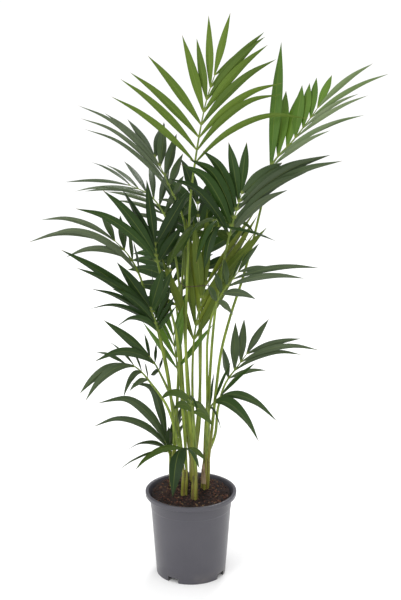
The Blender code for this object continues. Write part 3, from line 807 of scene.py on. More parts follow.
class FrondSolid:
    """Reads a frond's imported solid: the rings of its stalk and the sections of its leaflets."""

    LEAFLET_MARKS = (0.72, 0.38, 0.10)
    LEAFLET_RINGS = [3, 3, 3, 4]

    def __init__(self, node: bpy.types.Object) -> None:
        """Reads the solid.

        Args:
            node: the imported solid.
        """
        self.shape = bmesh.new()
        self.shape.from_mesh(node.data)
        bmesh.ops.remove_doubles(self.shape, verts=self.shape.verts, dist=SOLID_MERGE)
        self.taken: set[bmesh.types.BMVert] = set()
        self.leaflets = [
            self.read_leaflet(apex) for apex in self.shape.verts
            if self.rings_from(apex) == self.LEAFLET_RINGS
        ]
        self.stalk = self.read_stalk()
        self.shape.free()

    @staticmethod
    def next_to(ring: Iterable[bmesh.types.BMVert]) -> set[bmesh.types.BMVert]:
        """The vertices joined to any of a ring's."""
        return {edge.other_vert(vertex) for vertex in ring for edge in vertex.link_edges}

    def rings_from(self, apex: bmesh.types.BMVert) -> list[int]:
        """How many vertices there are in each of the first rings round one.

        Args:
            apex: the vertex.

        Returns:
            The number in each ring.
        """
        seen, ring, sizes = {apex}, self.next_to([apex]), []
        for _ in self.LEAFLET_RINGS:
            sizes.append(len(ring))
            seen |= ring
            ring = self.next_to(ring) - seen
        return sizes

    def read_leaflet(self, apex: bmesh.types.BMVert) -> list[Station]:
        """The stations of a leaflet from its root to its tip.

        Args:
            apex: the vertex at the leaflet's tip.

        Returns:
            The stations, the first of them just inside the midrib.
        """
        seen, ring, stations = {apex}, self.next_to([apex]), []
        for mark in self.LEAFLET_MARKS:
            pairs = [(a, b) for a in ring for b in ring if a is not b]
            near, far = max(pairs, key=lambda pair: (pair[0].co - pair[1].co).length)
            keel = next(vertex for vertex in ring if vertex not in (near, far))
            centre = (near.co + far.co) / 2
            width = (near.co - far.co).length / 2
            stations.insert(0, Station(centre, (keel.co - centre).normalized(), width, mark))
            seen |= ring
            ring = self.next_to(ring) - seen
        self.taken |= seen
        root = sum((vertex.co for vertex in ring), Vector()) / len(ring)
        first, last = stations[0], stations[-1]
        inside = root + (root - first.point).normalized() * 0.0012
        stations.insert(0, Station(root, first.upper, first.half_width * 0.50, 0.0))
        stations.insert(0, Station(inside, first.upper, first.half_width * 0.45, -0.01))
        return [*stations, Station(apex.co.copy(), last.upper, last.half_width * 0.02, 1.0)]

    def read_stalk(self) -> list[Station]:
        """The stations of the stalk from its foot to its tip.

        Returns:
            The stations.
        """
        free = [vertex for vertex in self.shape.verts if vertex not in self.taken]
        ring = set(sorted(free, key=lambda vertex: vertex.co.z)[:4])
        seen, stations = set(self.taken), []
        while len(ring) == 4:
            centre = sum((vertex.co for vertex in ring), Vector()) / 4
            width = sum((vertex.co - centre).length for vertex in ring) / 4
            stations.append((centre, [vertex.co.copy() for vertex in ring], width))
            seen |= ring
            ring = self.next_to(ring) - seen
        tips = [vertex.co.copy() for vertex in ring]
        centres = [centre for centre, _, _ in stations] + tips[:1]
        lengths = np.cumsum([0.0, *((b - a).length for a, b in zip(centres, centres[1:]))])
        read: list[Station] = []
        upper = FRONT
        for index, (centre, corners, width) in enumerate(stations):
            way = (centres[min(index + 1, len(centres) - 1)] - centres[max(index - 1, 0)]).normalized()
            upper = self.side_facing(centre, corners, way, upper)
            read.append(Station(centre, upper, width * 0.84, float(lengths[index] / lengths[-1])))
        if tips:
            read.append(Station(tips[0], upper, read[-1].half_width * 0.5, 1.0))
        return read

    def on_right(self, leaflet: Sequence[Station]) -> bool:
        """Whether a leaflet stands on the right of the midrib, seen from above with the tip ahead.

        Args:
            leaflet: the leaflet's stations.

        Returns:
            True on the right.
        """
        root = leaflet[1].point
        near = min(range(1, len(self.stalk)), key=lambda index: (self.stalk[index].point - root).length)
        way = self.stalk[near].point - self.stalk[near - 1].point
        out = leaflet[-3].point - root
        return way.cross(leaflet[1].upper).dot(out) > 0

    @staticmethod
    def side_facing(centre: Vector, corners: Sequence[Vector], way: Vector, before: Vector) -> Vector:
        """The middle of a square ring's side that faces most nearly as the side before.

        Args:
            centre: the ring's middle.
            corners: its four corners.
            way: the direction of the stalk there.
            before: the way that the ring before it faced.

        Returns:
            The direction in which the side faces.
        """
        turned_round = before - way * before.dot(way)
        best = max(corners, key=lambda corner: (corner - centre).dot(turned_round))
        others = [corner for corner in corners if corner is not best]
        second = max(others, key=lambda corner: (corner - centre).dot(turned_round))
        middle = (best + second) / 2 - centre
        return (middle - way * middle.dot(way)).normalized()


@dataclass
class Leaf:
    """One feather leaf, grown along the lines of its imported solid."""

    node: str
    tone: Tone
    seed: int
    fold: float = 0.26
    girths: tuple[float, float] = (1.0, 1.0)
    # share of grey-green painted sheen on the left and on the right leaflets
    painted_sheens: tuple[float, float] = (0.0, 0.0)
    leaflet_steps: int = 22
    stalk_step: float = 0.008
    foot: Vector = field(default_factory=Vector, init=False)

    def dense(self, stations: Sequence[Station], count: int) -> list[Station]:
        """Stations closely spaced on a smooth line through given ones.

        Args:
            stations: the given stations.
            count: how many to make.

        Returns:
            The close stations.
        """
        points = np.array([
            [*station.point, *station.upper, station.half_width, station.along] for station in stations
        ])
        gaps = np.linalg.norm(np.diff(points[:, :3], axis=0), axis=1)
        marks = np.concatenate([[0.0], np.cumsum(gaps)])
        rows = smooth_through(marks, points, np.linspace(0.0, marks[-1], count))
        return [
            Station(
                Vector(row[:3]),
                Vector(row[3:6]).normalized(),
                max(float(row[6]), LEAST_HALF_WIDTH),
                float(row[7]),
            )
            for row in rows
        ]

    def lines(self, solid: bpy.types.Object) -> bpy.types.Mesh:
        """The leaf's lines as loose edges that carry each point's width, upper side and place.

        Args:
            solid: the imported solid.

        Returns:
            The lines.
        """
        read = FrondSolid(solid)
        chance = random.Random(self.seed)
        length = sum((b.point - a.point).length for a, b in zip(read.stalk, read.stalk[1:]))
        stalk = self.dense(read.stalk, max(round(length / self.stalk_step), 12))
        rows = [(stalk, 0.0, chance.random(), 1.0, 0.0)]
        for leaflet in read.leaflets:
            side = read.on_right(leaflet)
            row = self.dense(leaflet, self.leaflet_steps)
            tone = chance.random()
            # this leaflet's share of painted sheen, by its side
            painted_sheen = self.painted_sheens[side] * chance.uniform(0.5, 1.2)
            rows.append((row, 1.0, tone, self.girths[side], painted_sheen))
        stations = [station for row, *_ in rows for station in row]
        edges, start = [], 0
        for row, *_ in rows:
            edges += [(start + step, start + step + 1) for step in range(len(row) - 1)]
            start += len(row)
        mesh = bpy.data.meshes.new(f"{self.node}_lines")
        mesh.from_pydata([station.point for station in stations], edges, [])
        numbers = {
            "half_width": [station.half_width * girth for row, _, _, girth, _ in rows for station in row],
            "along": [station.along for station in stations],
            "blade": [blade for row, blade, *_ in rows for _ in row],
            "tone": [tone for row, _, tone, *_ in rows for _ in row],
            "painted_sheen": [painted_sheen for row, *_, painted_sheen in rows for _ in row],
        }
        for name, values in numbers.items():
            mesh.attributes.new(name, "FLOAT", "POINT").data.foreach_set("value", values)
        upper = [number for station in stations for number in station.upper]
        mesh.attributes.new("upper", "FLOAT_VECTOR", "POINT").data.foreach_set("vector", upper)
        self.foot = read.stalk[0].point
        LOG.info("%s: %d leaflets, %d stalk rings", self.node, len(read.leaflets), len(read.stalk))
        return mesh

    def build(
        self, tree: GrowthTree, solid: bpy.types.Object, leaf: bpy.types.Material, stalk: bpy.types.Material
    ) -> bpy.types.Object:
        """Grows the leaf on the lines of its solid.

        Args:
            tree: the growth tree of leaves.
            solid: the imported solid.
            leaf: the leaflets' finish.
            stalk: the stalk's finish.

        Returns:
            The piece.
        """
        name = self.node.replace("frond", "palm_leaf")
        sizes = {"Fold": self.fold, "Seed": self.seed, "Leaf": leaf, "Stalk": stalk}
        return tree.grow(name, self.lines(solid), sizes)


class LeafTree(GrowthTree):
    """The tree that sweeps leaflets and stalks along lines that carry the numbers of Leaf.lines."""

    SIZES = {
        "Profile Points": ("Int", 30),
        "Thickness": ("Float", 0.040),
        "Fold": ("Float", 0.26),
        "Midrib": ("Float", 0.055),
        "Rib Depth": ("Float", 0.012),
        "Rib Count": ("Float", 26.0),
        "Twist": ("Float", 0.5),
        "Ripple": ("Float", 0.0022),
        "Channel": ("Float", 0.42),
        "Seed": ("Int", 1),
        "Leaf": ("Material", None),
        "Stalk": ("Material", None),
    }

    def __init__(self) -> None:
        """Builds the tree."""
        super().__init__("grow leaf", self.SIZES)
        drawn = self.entry.outputs["Geometry"]
        lines = self.node("GeometryNodeMeshToCurve", inputs={"Mesh": drawn}).outputs[0]
        split = self.node(
            "GeometryNodeSeparateGeometry", {"domain": "POINT"},
            {"Geometry": lines, "Selection": self.is_blade()},
        )
        ring = self.ring()
        swept = (
            self.swept(self.ruffled(split.outputs["Selection"]), self.blade_profile(ring)),
            self.swept(split.outputs["Inverted"], self.stalk_profile(ring)),
        )
        self.end(self.join(swept), ((self.size("Stalk"), None), (self.size("Leaf"), self.is_blade())))

    def is_blade(self) -> Value:
        """1 on leaflets and 0 on the stalk."""
        return self.stored("blade").above(0.5)

    def moved(self, geometry: object, **way: object) -> bpy.types.NodeSocket:
        """A geometry with its points moved.

        Args:
            geometry: the geometry.
            way: the Position or the Offset of the points.

        Returns:
            The moved geometry.
        """
        return self.node("GeometryNodeSetPosition", inputs={"Geometry": geometry, **way}).outputs[0]

    def ring(self) -> bpy.types.NodeSocket:
        """The round profile, on which each point knows how far across it is and how far it faces up.

        Returns:
            The ring of radius 1.
        """
        ring = self.node(
            "GeometryNodeCurvePrimitiveCircle", {"mode": "RADIUS"},
            {"Resolution": self.size("Profile Points"), "Radius": 1.0},
        ).outputs[0]
        across, face, _ = self.position()
        return self.store(self.store(ring, "across", across), "face_up", face)

    def blade_profile(self, ring: object) -> bpy.types.NodeSocket:
        """The leaflet's section: thin, folded along a raised midrib, and finely ribbed.

        Args:
            ring: the round profile.

        Returns:
            The section. Its X is the way up and its Y the way across.
        """
        across, face, _ = self.position()
        height = (
            face * self.size("Thickness")
            + (1.0 - abs(across)) * self.size("Fold")
            + across.bell(9.0) * self.size("Midrib")
            + (across * self.size("Rib Count")).wave() * self.size("Rib Depth")
        )
        return self.moved(ring, Position=self.vector(height, across * -1.0))

    def stalk_profile(self, ring: object) -> bpy.types.NodeSocket:
        """The stalk's section: round, with a channel along its upper side.

        Args:
            ring: the round profile.

        Returns:
            The section. Its X is the way up and its Y the way across.
        """
        across, face, _ = self.position()
        dip = across.bell(1.9) * face.ease(-0.1, 0.9) * self.size("Channel")
        return self.moved(ring, Position=self.vector(face - dip, across * -1.0))

    def ruffled(self, lines: object) -> bpy.types.NodeSocket:
        """Leaflet lines that waver and turn a little more towards their tips.

        Args:
            lines: the leaflets' lines.

        Returns:
            The changed lines.
        """
        along, tone = self.stored("along"), self.stored("tone")
        drift = self.flat_noise(along * 2.2, tone * 60.0, detail=1.0)
        reach = (drift - 0.5) * along * self.size("Ripple") * 2.0
        lines = self.moved(lines, Offset=self.scaled(self.stored("upper", "FLOAT_VECTOR"), reach))
        turn = (tone - 0.5) * along * self.size("Twist")
        return self.node("GeometryNodeSetCurveTilt", inputs={"Curve": lines, "Tilt": turn}).outputs[0]

    def swept(self, lines: object, profile: object) -> bpy.types.NodeSocket:
        """A closed skin swept along lines, each as wide as its points say.

        Args:
            lines: the lines.
            profile: the section.

        Returns:
            The skin.
        """
        facing = {"Curve": lines, "Normal": self.stored("upper", "FLOAT_VECTOR")}
        lines = self.node("GeometryNodeSetCurveNormal", {"mode": "FREE"}, facing).outputs[0]
        return self.node("GeometryNodeCurveToMesh", inputs={
            "Curve": lines, "Profile Curve": profile, "Scale": self.stored("half_width"), "Fill Caps": True,
        }).outputs[0]


# Where a leaf has a pair of painted sheen shares, it gives the grey-green painted sheen on its left and right
# leaflets.
LEAVES = (
    Leaf("frond_top", Tone.OLIVE, 11, fold=0.22),
    Leaf("frond_left_high", Tone.GREY_PARTLY_PAINTED_SHEEN, 12, girths=(0.78, 1.15), painted_sheens=(0.28, 0.05)),
    Leaf("frond_right_tall", Tone.BRIGHT, 13, fold=0.18, girths=(1.15, 0.66), painted_sheens=(0.0, 0.65)),
    Leaf("frond_right_broad", Tone.DEEP_PARTLY_PAINTED_SHADE, 14, girths=(1.15, 0.95), painted_sheens=(0.0, 0.26)),
    Leaf("frond_left_fan", Tone.DEEP_PARTLY_PAINTED_SHADE, 15, fold=0.20, girths=(1.0, 1.15)),
    Leaf("frond_left_long", Tone.GREY_PARTLY_PAINTED_SHEEN, 16, girths=(0.72, 1.1), painted_sheens=(0.45, 0.0)),
    Leaf("frond_left_back", Tone.GREY_PARTLY_PAINTED_SHEEN, 17, girths=(0.75, 1.2), painted_sheens=(0.25, 0.0)),
    Leaf("frond_left_node", Tone.DEEP_PARTLY_PAINTED_SHADE, 18, girths=(1.2, 1.2)),
    Leaf("frond_low_left_upper", Tone.DEEP_PARTLY_PAINTED_SHADE, 19, painted_sheens=(0.08, 0.0)),
    Leaf("frond_low_left_arch", Tone.GREY_PARTLY_PAINTED_SHEEN, 20, painted_sheens=(0.12, 0.05)),
    Leaf("frond_low_left_middle", Tone.GREY_PARTLY_PAINTED_SHEEN, 21, painted_sheens=(0.06, 0.0)),
    Leaf("frond_low_left_lower", Tone.GREY_PARTLY_PAINTED_SHEEN, 22, girths=(0.85, 1.0), painted_sheens=(0.06, 0.0)),
    Leaf("frond_front_low", Tone.DEEP_PARTLY_PAINTED_SHADE, 23, girths=(1.15, 1.15), painted_sheens=(0.06, 0.0)),
    Leaf("frond_low_right", Tone.DEEP_PARTLY_PAINTED_SHADE, 24, painted_sheens=(0.0, 0.08)),
    Leaf("frond_right_lower", Tone.GREY_PARTLY_PAINTED_SHEEN, 25, girths=(1.1, 0.85), painted_sheens=(0.05, 0.16)),
    Leaf("frond_right_middle", Tone.GREY_PARTLY_PAINTED_SHEEN, 26, girths=(1.1, 0.80), painted_sheens=(0.0, 0.2)),
    Leaf("frond_centre", Tone.DEEP_PARTLY_PAINTED_SHADE, 27, girths=(1.2, 1.2)),
    Leaf("frond_inner", Tone.YELLOW_PARTLY_PAINTED_BACKLIGHT, 28, fold=0.20),
    Leaf("frond_inner_low", Tone.FRESH, 29, fold=0.20),
    Leaf("frond_back_right", Tone.DEEP_PARTLY_PAINTED_SHADE, 30, girths=(1.2, 1.2)),
    Leaf("frond_back_left", Tone.DEEP_PARTLY_PAINTED_SHADE, 31, girths=(1.2, 1.2)),
    Leaf("frond_low_inner", Tone.DEEP_PARTLY_PAINTED_SHADE, 32),
)


# Canes


@dataclass(frozen=True)
class Sheath:
    """The lie of one dry leaf sheath on its cane."""

    index: int
    seed: int
    start: float
    rise: float
    middle: float
    spread: float
    gap: float = 0.0006
    flare: float = 0.0012
    crease: float = 0.0004
    thickness: float = 0.00045

    def point(self, cane: "Cane", side: float, share: float, layer: int) -> Vector:
        """A point of the sheath.

        Args:
            cane: the cane that it wraps.
            side: how far across it the point is, from -1 to 1.
            share: how far up it the point is, from 0 to 1.
            layer: 0 on the inner face, 1 on the outer one.

        Returns:
            The point.
        """
        ragged = 0.10 * noise.noise(Vector((side * 7, self.index * 9.0, self.seed)))
        reach = 1 - abs(side) ** 1.7 * 0.62 + ragged
        centre, radius = cane.read(self.start + self.rise * share * reach)
        turn = self.middle + side * self.spread * (1 - 0.35 * share**2)
        off = self.gap * (1 + self.index * 0.8) + self.flare * share**3
        off += self.crease * noise.noise(Vector((side * 5, share * 7, self.index * 3.0 + self.seed)))
        out = Vector((math.cos(turn), math.sin(turn), 0.0))
        return centre + out * (radius + off + layer * self.thickness)


@dataclass
class Cane:
    """A palm's short cane: a ringed core, the bases of its leaves running down it, and dry sheaths."""

    node: str
    seed: int
    sheaths: int = 0
    sides: int = 32
    rows: int = 40
    slimness: float = 0.80
    crown_height: float = 0.004
    crown_radius: float = 0.016
    scar_gap: float = 0.011
    scar_depth: float = 0.0006
    base_radius: float = 0.0034
    base_sides: int = 14
    base_steps: int = 16
    base_overlap: float = 0.006
    base_spread: float = 0.012
    base_waver: float = 0.0012
    sheath_drop: float = 0.050
    sheath_rise: float = 0.044
    sheath_stagger: float = 0.012
    sheath_grid: tuple[int, int] = (20, 14)
    heights: np.ndarray = field(default_factory=lambda: np.zeros(2), init=False)
    lines: np.ndarray = field(default_factory=lambda: np.zeros((2, 3)), init=False)

    def axis(self, solid: bpy.types.Object) -> tuple[np.ndarray, np.ndarray]:
        """The heights of the solid's rings, and each ring's centre and radius.

        Args:
            solid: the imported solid.

        Returns:
            The heights, and a row of (x, y, radius) for each.
        """
        points = np.array([vertex.co for vertex in solid.data.vertices])
        heights = np.unique(points[:, 2].round(4))
        rows = []
        for height in heights:
            ring = points[abs(points[:, 2] - height) < 2e-4, :2]
            centre = (ring.max(axis=0) + ring.min(axis=0)) / 2
            rows.append([*centre, np.linalg.norm(ring - centre, axis=1).max()])
        return heights, np.array(rows)

    def build(
        self, solid: bpy.types.Object, feet: Sequence[Vector], finishes: Sequence[bpy.types.Material]
    ) -> bpy.types.Object:
        """Builds the core, the dry sheaths and the leaf bases.

        Args:
            solid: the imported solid.
            feet: the feet of all the leaves' stalks, of which it takes those on its own crown.
            finishes: the core's, the sheaths' and the leaf bases' finish.

        Returns:
            The piece.
        """
        self.heights, self.lines = self.axis(solid)
        top, middle = self.heights[-1], Vector(self.lines[-1][:2])
        own = [
            foot for foot in feet
            if abs(foot.z - top) < self.crown_height and (foot.to_2d() - middle).length < self.crown_radius
        ]
        chance = random.Random(self.seed)
        shape = bmesh.new()
        self.add_core(shape, chance)
        for index in range(self.sheaths):
            self.add_sheath(shape, chance, index)
        for foot in own:
            self.add_base(shape, foot, chance)
        return add_piece(self.node.replace("stem", "palm_cane"), mesh_of(self.node, shape, 50.0), *finishes)

    def read(self, height: float) -> tuple[Vector, float]:
        """The axis and the radius at a height, carried on straight past the crown.

        Args:
            height: the height.

        Returns:
            The middle there, and the radius.
        """
        top = self.heights[-1]
        row = [np.interp(height, self.heights, self.lines[:, column]) for column in range(3)]
        lean = (self.lines[-1] - self.lines[-2]) / (top - self.heights[-2]) * max(height - top, 0.0)
        return Vector((row[0] + lean[0], row[1] + lean[1], height)), float(row[2])

    def add_core(self, shape: bmesh.types.BMesh, chance: random.Random) -> None:
        """Adds the core with its leaf scars, closed by a low crown.

        Args:
            shape: the shape to add to.
            chance: the source of random numbers.
        """
        shift = chance.random() * 50
        low, high = self.heights[0], self.heights[-1]
        rings = []
        for row in range(self.rows + 1):
            height = low + (high - low) * row / self.rows
            centre, radius = self.read(height)
            scar = math.cos(2 * math.pi * height / self.scar_gap) ** 8 * self.scar_depth
            rings.append(self.ring(shape, centre, radius * self.slimness + scar, shift))
        centre, radius = self.read(high)
        for share, rise in ((0.62, 0.0018), (0.35, 0.0035)):
            rings.append(self.ring(shape, centre + UP * rise, radius * share, shift))
        self.skin(shape, rings, 0)

    def skin(
        self, shape: bmesh.types.BMesh, rings: Sequence[Sequence[bmesh.types.BMVert]], finish: int
    ) -> None:
        """Adds the faces of a closed tube through its rings.

        Args:
            shape: the shape to add to.
            rings: the rings from one end to the other.
            finish: the number of the faces' material.
        """
        faces = [shape.faces.new(rings[0]), shape.faces.new(list(reversed(rings[-1])))]
        for low, high in zip(rings, rings[1:]):
            for side in range(len(low)):
                after = (side + 1) % len(low)
                faces.append(shape.faces.new((low[side], low[after], high[after], high[side])))
        for face in faces:
            face.material_index = finish

    def ring(
        self, shape: bmesh.types.BMesh, centre: Vector, radius: float, shift: float
    ) -> list[bmesh.types.BMVert]:
        """A ring of vertices, gently uneven.

        Args:
            shape: the shape to add to.
            centre: the ring's middle.
            radius: its radius.
            shift: where in the noise its unevenness starts.

        Returns:
            The vertices in order.
        """
        made = []
        for side in range(self.sides):
            turn = 2 * math.pi * side / self.sides
            out = Vector((math.cos(turn), math.sin(turn), 0.0))
            wave = noise.noise(Vector((out.x * 2 + shift, out.y * 2, centre.z * 30))) * 0.0005
            made.append(shape.verts.new(centre + out * (radius + wave)))
        return made

    def add_base(self, shape: bmesh.types.BMesh, foot: Vector, chance: random.Random) -> None:
        """Adds the base of one leaf: from inside its stalk's foot down the cane, broadening as it goes.

        Args:
            shape: the shape to add to.
            foot: the foot of the leaf's stalk.
            chance: the source of random numbers.
        """
        crown, _ = self.read(foot.z)
        out = Vector((foot.x - crown.x, foot.y - crown.y, 0.0))
        low = self.heights[0] + chance.uniform(0.0, self.base_spread)
        high = foot.z + self.base_overlap
        rings = []
        for step in range(self.base_steps + 1):
            share = step / self.base_steps
            height = high + (low - high) * share
            centre, radius = self.read(height)
            reach = min(out.length, radius - self.base_radius * 0.75)
            middle = centre + out.normalized() * reach
            waver = noise.noise(Vector((self.seed, share * 2.5, out.x * 300)))
            middle.x += waver * self.base_waver * share
            girth = self.base_radius * (0.62 + 0.48 * min(share * 3.2, 1.0) - 0.16 * max(share - 0.7, 0.0))
            rings.append([
                shape.verts.new(middle + Vector((math.cos(turn), math.sin(turn), 0.0)) * girth)
                for turn in (2 * math.pi * side / self.base_sides for side in range(self.base_sides))
            ])
        self.skin(shape, rings, 2)

    def add_sheath(self, shape: bmesh.types.BMesh, chance: random.Random, index: int) -> None:
        """Adds one dry sheath: a thin wrap that follows the cane and ends in a torn point.

        Args:
            shape: the shape to add to.
            chance: the source of random numbers.
            index: which sheath it is, from the inside.
        """
        foot = self.heights[-1] - self.sheath_drop + self.sheath_stagger * index
        sheath = Sheath(
            index=index,
            seed=self.seed,
            start=foot + chance.uniform(-0.002, 0.002),
            rise=self.sheath_rise * chance.uniform(0.75, 1.15),
            middle=chance.uniform(-2.4, -0.8),
            spread=math.radians(chance.uniform(30, 50)),
        )
        across, up = self.sheath_grid
        inner, outer = (
            [
                [
                    shape.verts.new(sheath.point(self, column / across * 2 - 1, row / up, layer))
                    for column in range(across + 1)
                ]
                for row in range(up + 1)
            ]
            for layer in (0, 1)
        )
        faces = []
        for row in range(up):
            for column in range(across):
                corners = ((row, column), (row, column + 1), (row + 1, column + 1), (row + 1, column))
                faces.append(shape.faces.new([outer[a][b] for a, b in corners]))
                faces.append(shape.faces.new([inner[a][b] for a, b in reversed(corners)]))
        border = (
            [(0, column) for column in range(across)] + [(row, across) for row in range(up)]
            + [(up, column) for column in range(across, 0, -1)] + [(row, 0) for row in range(up, 0, -1)]
        )
        for (a, b), (c, d) in zip(border, border[1:] + border[:1]):
            faces.append(shape.faces.new((outer[a][b], inner[a][b], inner[c][d], outer[c][d])))
        for face in faces:
            face.material_index = 1


CANES = (
    Cane("stem_left", 41),
    Cane("stem_front_left", 42),
    Cane("stem_front", 43),
    Cane("stem_right", 44, sheaths=2),
    Cane("stem_back", 45),
)


# Pot and compost


@dataclass
class Pot:
    """The round nursery pot: a tapered shell with a rolled lip, a stepped band and notches in its foot."""

    height: float = 0.183
    rim_radius: float = 0.095
    base_radius: float = 0.0725
    lip_height: float = 0.010
    lip_width: float = 0.0065
    lip_step: float = 0.0035
    wall: float = 0.0024
    band_drop: float = 0.025
    band_step: float = 0.0008
    band_slope: float = 0.0006
    draft: float = 0.001
    corner_radius: float = 0.0021
    lip_taper: float = 0.0004
    lip_fillet: float = 0.004
    floor_height: float = 0.007
    floor_thickness: float = 0.0024
    pad_radius: float = 0.016
    notches: int = 4
    notch_width: float = 0.0245
    notch_height: float = 0.0115
    notch_depth: float = 0.012
    first_notch: float = -121.0
    steps: int = 192

    def wall_radius(self, height: float) -> float:
        """The radius of the outer wall under the lip.

        Args:
            height: the height over the foot.

        Returns:
            The radius.
        """
        top = self.height - self.lip_height
        under = self.rim_radius - self.lip_width - self.lip_step
        radius = self.base_radius + (under - self.base_radius) * height / top
        return radius + (self.band_step if height > top - self.band_drop else 0.0)

    def profile(self) -> list[Vector]:
        """The shell's section, from the axis underneath round to the axis inside.

        Returns:
            The (radius, height) points of the section.
        """
        under_lip = self.height - self.lip_height
        band = under_lip - self.band_drop
        inner = self.rim_radius - self.lip_width
        floor_top = self.floor_height + self.floor_thickness
        foot = self.base_radius - self.wall
        return rounded([
            (0.0, 0.0), (self.pad_radius, 0.0), (self.pad_radius + self.draft, self.floor_height),
            (foot - self.draft, self.floor_height), (foot, 0.0), (self.base_radius, 0.0),
            (self.wall_radius(band), band - self.band_slope),
            (self.wall_radius(band + self.draft), band + self.band_slope),
            (self.wall_radius(under_lip), under_lip), (self.rim_radius - self.lip_taper, under_lip),
            (self.rim_radius, self.height), (inner, self.height),
            (self.wall_radius(under_lip) - self.wall, under_lip - self.lip_fillet),
            (self.wall_radius(band) - self.wall, band),
            (self.wall_radius(floor_top) - self.wall, floor_top), (0.0, floor_top),
        ], self.corner_radius)

    def build(self, finish: bpy.types.Material) -> bpy.types.Object:
        """Turns the shell and cuts its notches.

        Args:
            finish: the plastic's finish.

        Returns:
            The piece.
        """
        pot = add_piece("nursery_pot", mesh_of("nursery_pot", turned(self.profile(), self.steps)), finish)
        boxes = bmesh.new()
        for index in range(self.notches):
            turn = Matrix.Rotation(math.radians(self.first_notch + index * 360 / self.notches), 4, "Z")
            size = Matrix.Diagonal((2 * self.notch_depth, self.notch_width, 2 * self.notch_height, 1))
            place = turn @ Matrix.Translation((self.base_radius, 0, 0)) @ size
            bmesh.ops.create_cube(boxes, size=1.0, matrix=place)
        cutter = add_piece("notches", mesh_of("notches", boxes))
        cut = pot.modifiers.new("notches", "BOOLEAN")
        cut.object = cutter
        cut.solver = "EXACT"
        graph = bpy.context.evaluated_depsgraph_get()
        shell = bpy.data.meshes.new_from_object(pot.evaluated_get(graph), depsgraph=graph)
        pot.modifiers.clear()
        pot.data = shell
        bpy.data.objects.remove(cutter)
        shell.set_sharp_from_angle(angle=math.radians(40))
        return pot


@dataclass
class Compost:
    """The compost: an uneven bed that fills the pot, with crumbs and bark chips scattered on it."""

    rings: int = 46
    spokes: int = 128
    depth: float = 0.03
    sink: float = 0.0022
    lumps: float = 0.0034
    rise: float = 0.0124
    wall_gap: float = 0.0052
    crumbs: dict[str, object] = field(default_factory=lambda: {
        "Density": 52000.0, "Size": 0.00165, "Seed": 3,
    })
    chips: dict[str, object] = field(default_factory=lambda: {
        "Density": 6000.0, "Size": 0.0021, "Flatness": 0.42, "Length": 1.7, "Seed": 8,
    })

    def bed(self, top: float, radius: float) -> bpy.types.Mesh:
        """The bed as a closed mesh.

        Args:
            top: the height of the bed's level.
            radius: its radius.

        Returns:
            The mesh.
        """
        shape = bmesh.new()
        loops = []
        for ring in range(1, self.rings + 1):
            share = ring / self.rings
            loop = []
            for spoke in range(self.spokes):
                turn = 2 * math.pi * spoke / self.spokes
                x, y = math.cos(turn) * radius * share, math.sin(turn) * radius * share
                loop.append(shape.verts.new((x, y, top + self.unevenness(x, y, share))))
            loops.append(loop)
        centre = shape.verts.new((0.0, 0.0, top + self.unevenness(0.0, 0.0, 0.0)))
        low = [shape.verts.new((v.co.x * 0.985, v.co.y * 0.985, top - self.depth)) for v in loops[-1]]
        for inner, outer in zip(loops, [*loops[1:], low]):
            for spoke in range(self.spokes):
                after = (spoke + 1) % self.spokes
                shape.faces.new((inner[spoke], outer[spoke], outer[after], inner[after]))
        for spoke in range(self.spokes):
            shape.faces.new((centre, loops[0][spoke], loops[0][(spoke + 1) % self.spokes]))
        shape.faces.new(list(reversed(low)))
        mesh = mesh_of("compost_bed", shape, 80.0)
        mesh.attributes.new("tone", "FLOAT", "POINT").data.foreach_set(
            "value", [0.25 + 0.3 * noise.noise(vertex.co * 160) for vertex in mesh.vertices]
        )
        return mesh

    def unevenness(self, x: float, y: float, share: float) -> float:
        """How far the bed stands above its level at a point.

        Args:
            x, y: the point.
            share: how far it is from the middle to the wall, from 0 to 1.

        Returns:
            The height over the level.
        """
        broad = noise.noise(Vector((x * 26, y * 26, 1.7))) * 0.5
        fine = noise.noise(Vector((x * 120, y * 120, 5.1))) * 0.42
        fine += noise.noise(Vector((x * 330, y * 330, 2.2))) * 0.3
        edge = -0.5 * max(share - 0.9, 0.0) / 0.1
        back = min(max((y + 0.045) / 0.10, 0.0), 1.0)
        return (broad + fine + edge) * self.lumps + self.rise * back * back * (3 - 2 * back)

    def build(
        self, tree: GrowthTree, solid: tuple[Vector, Vector], finish: bpy.types.Material
    ) -> bpy.types.Object:
        """Lays the bed and scatters crumbs and chips on it.

        Args:
            tree: the scattering tree.
            solid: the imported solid's box.
            finish: the compost's finish.

        Returns:
            The piece.
        """
        low, high = solid
        top, radius = high.z - self.sink, (high.x - low.x) / 2
        bed = self.bed(top, radius)
        shared = {"Material": finish, "Reach": radius - self.wall_gap}
        parts = [tree.grow("compost", bed, {**self.crumbs, **shared, "Keep Bed": True})]
        parts.append(tree.grow("compost_chips", bed, {**self.chips, **shared, "Keep Bed": False}))
        return joined(parts)


def joined(parts: Sequence[bpy.types.Object]) -> bpy.types.Object:
    """Several mesh objects as the first of them.

    Args:
        parts: the objects.

    Returns:
        The first object, with all the meshes.
    """
    shape = bmesh.new()
    for part in parts:
        shape.from_mesh(part.data)
    shape.to_mesh(parts[0].data)
    shape.free()
    for part in parts[1:]:
        bpy.data.objects.remove(part)
    return parts[0]


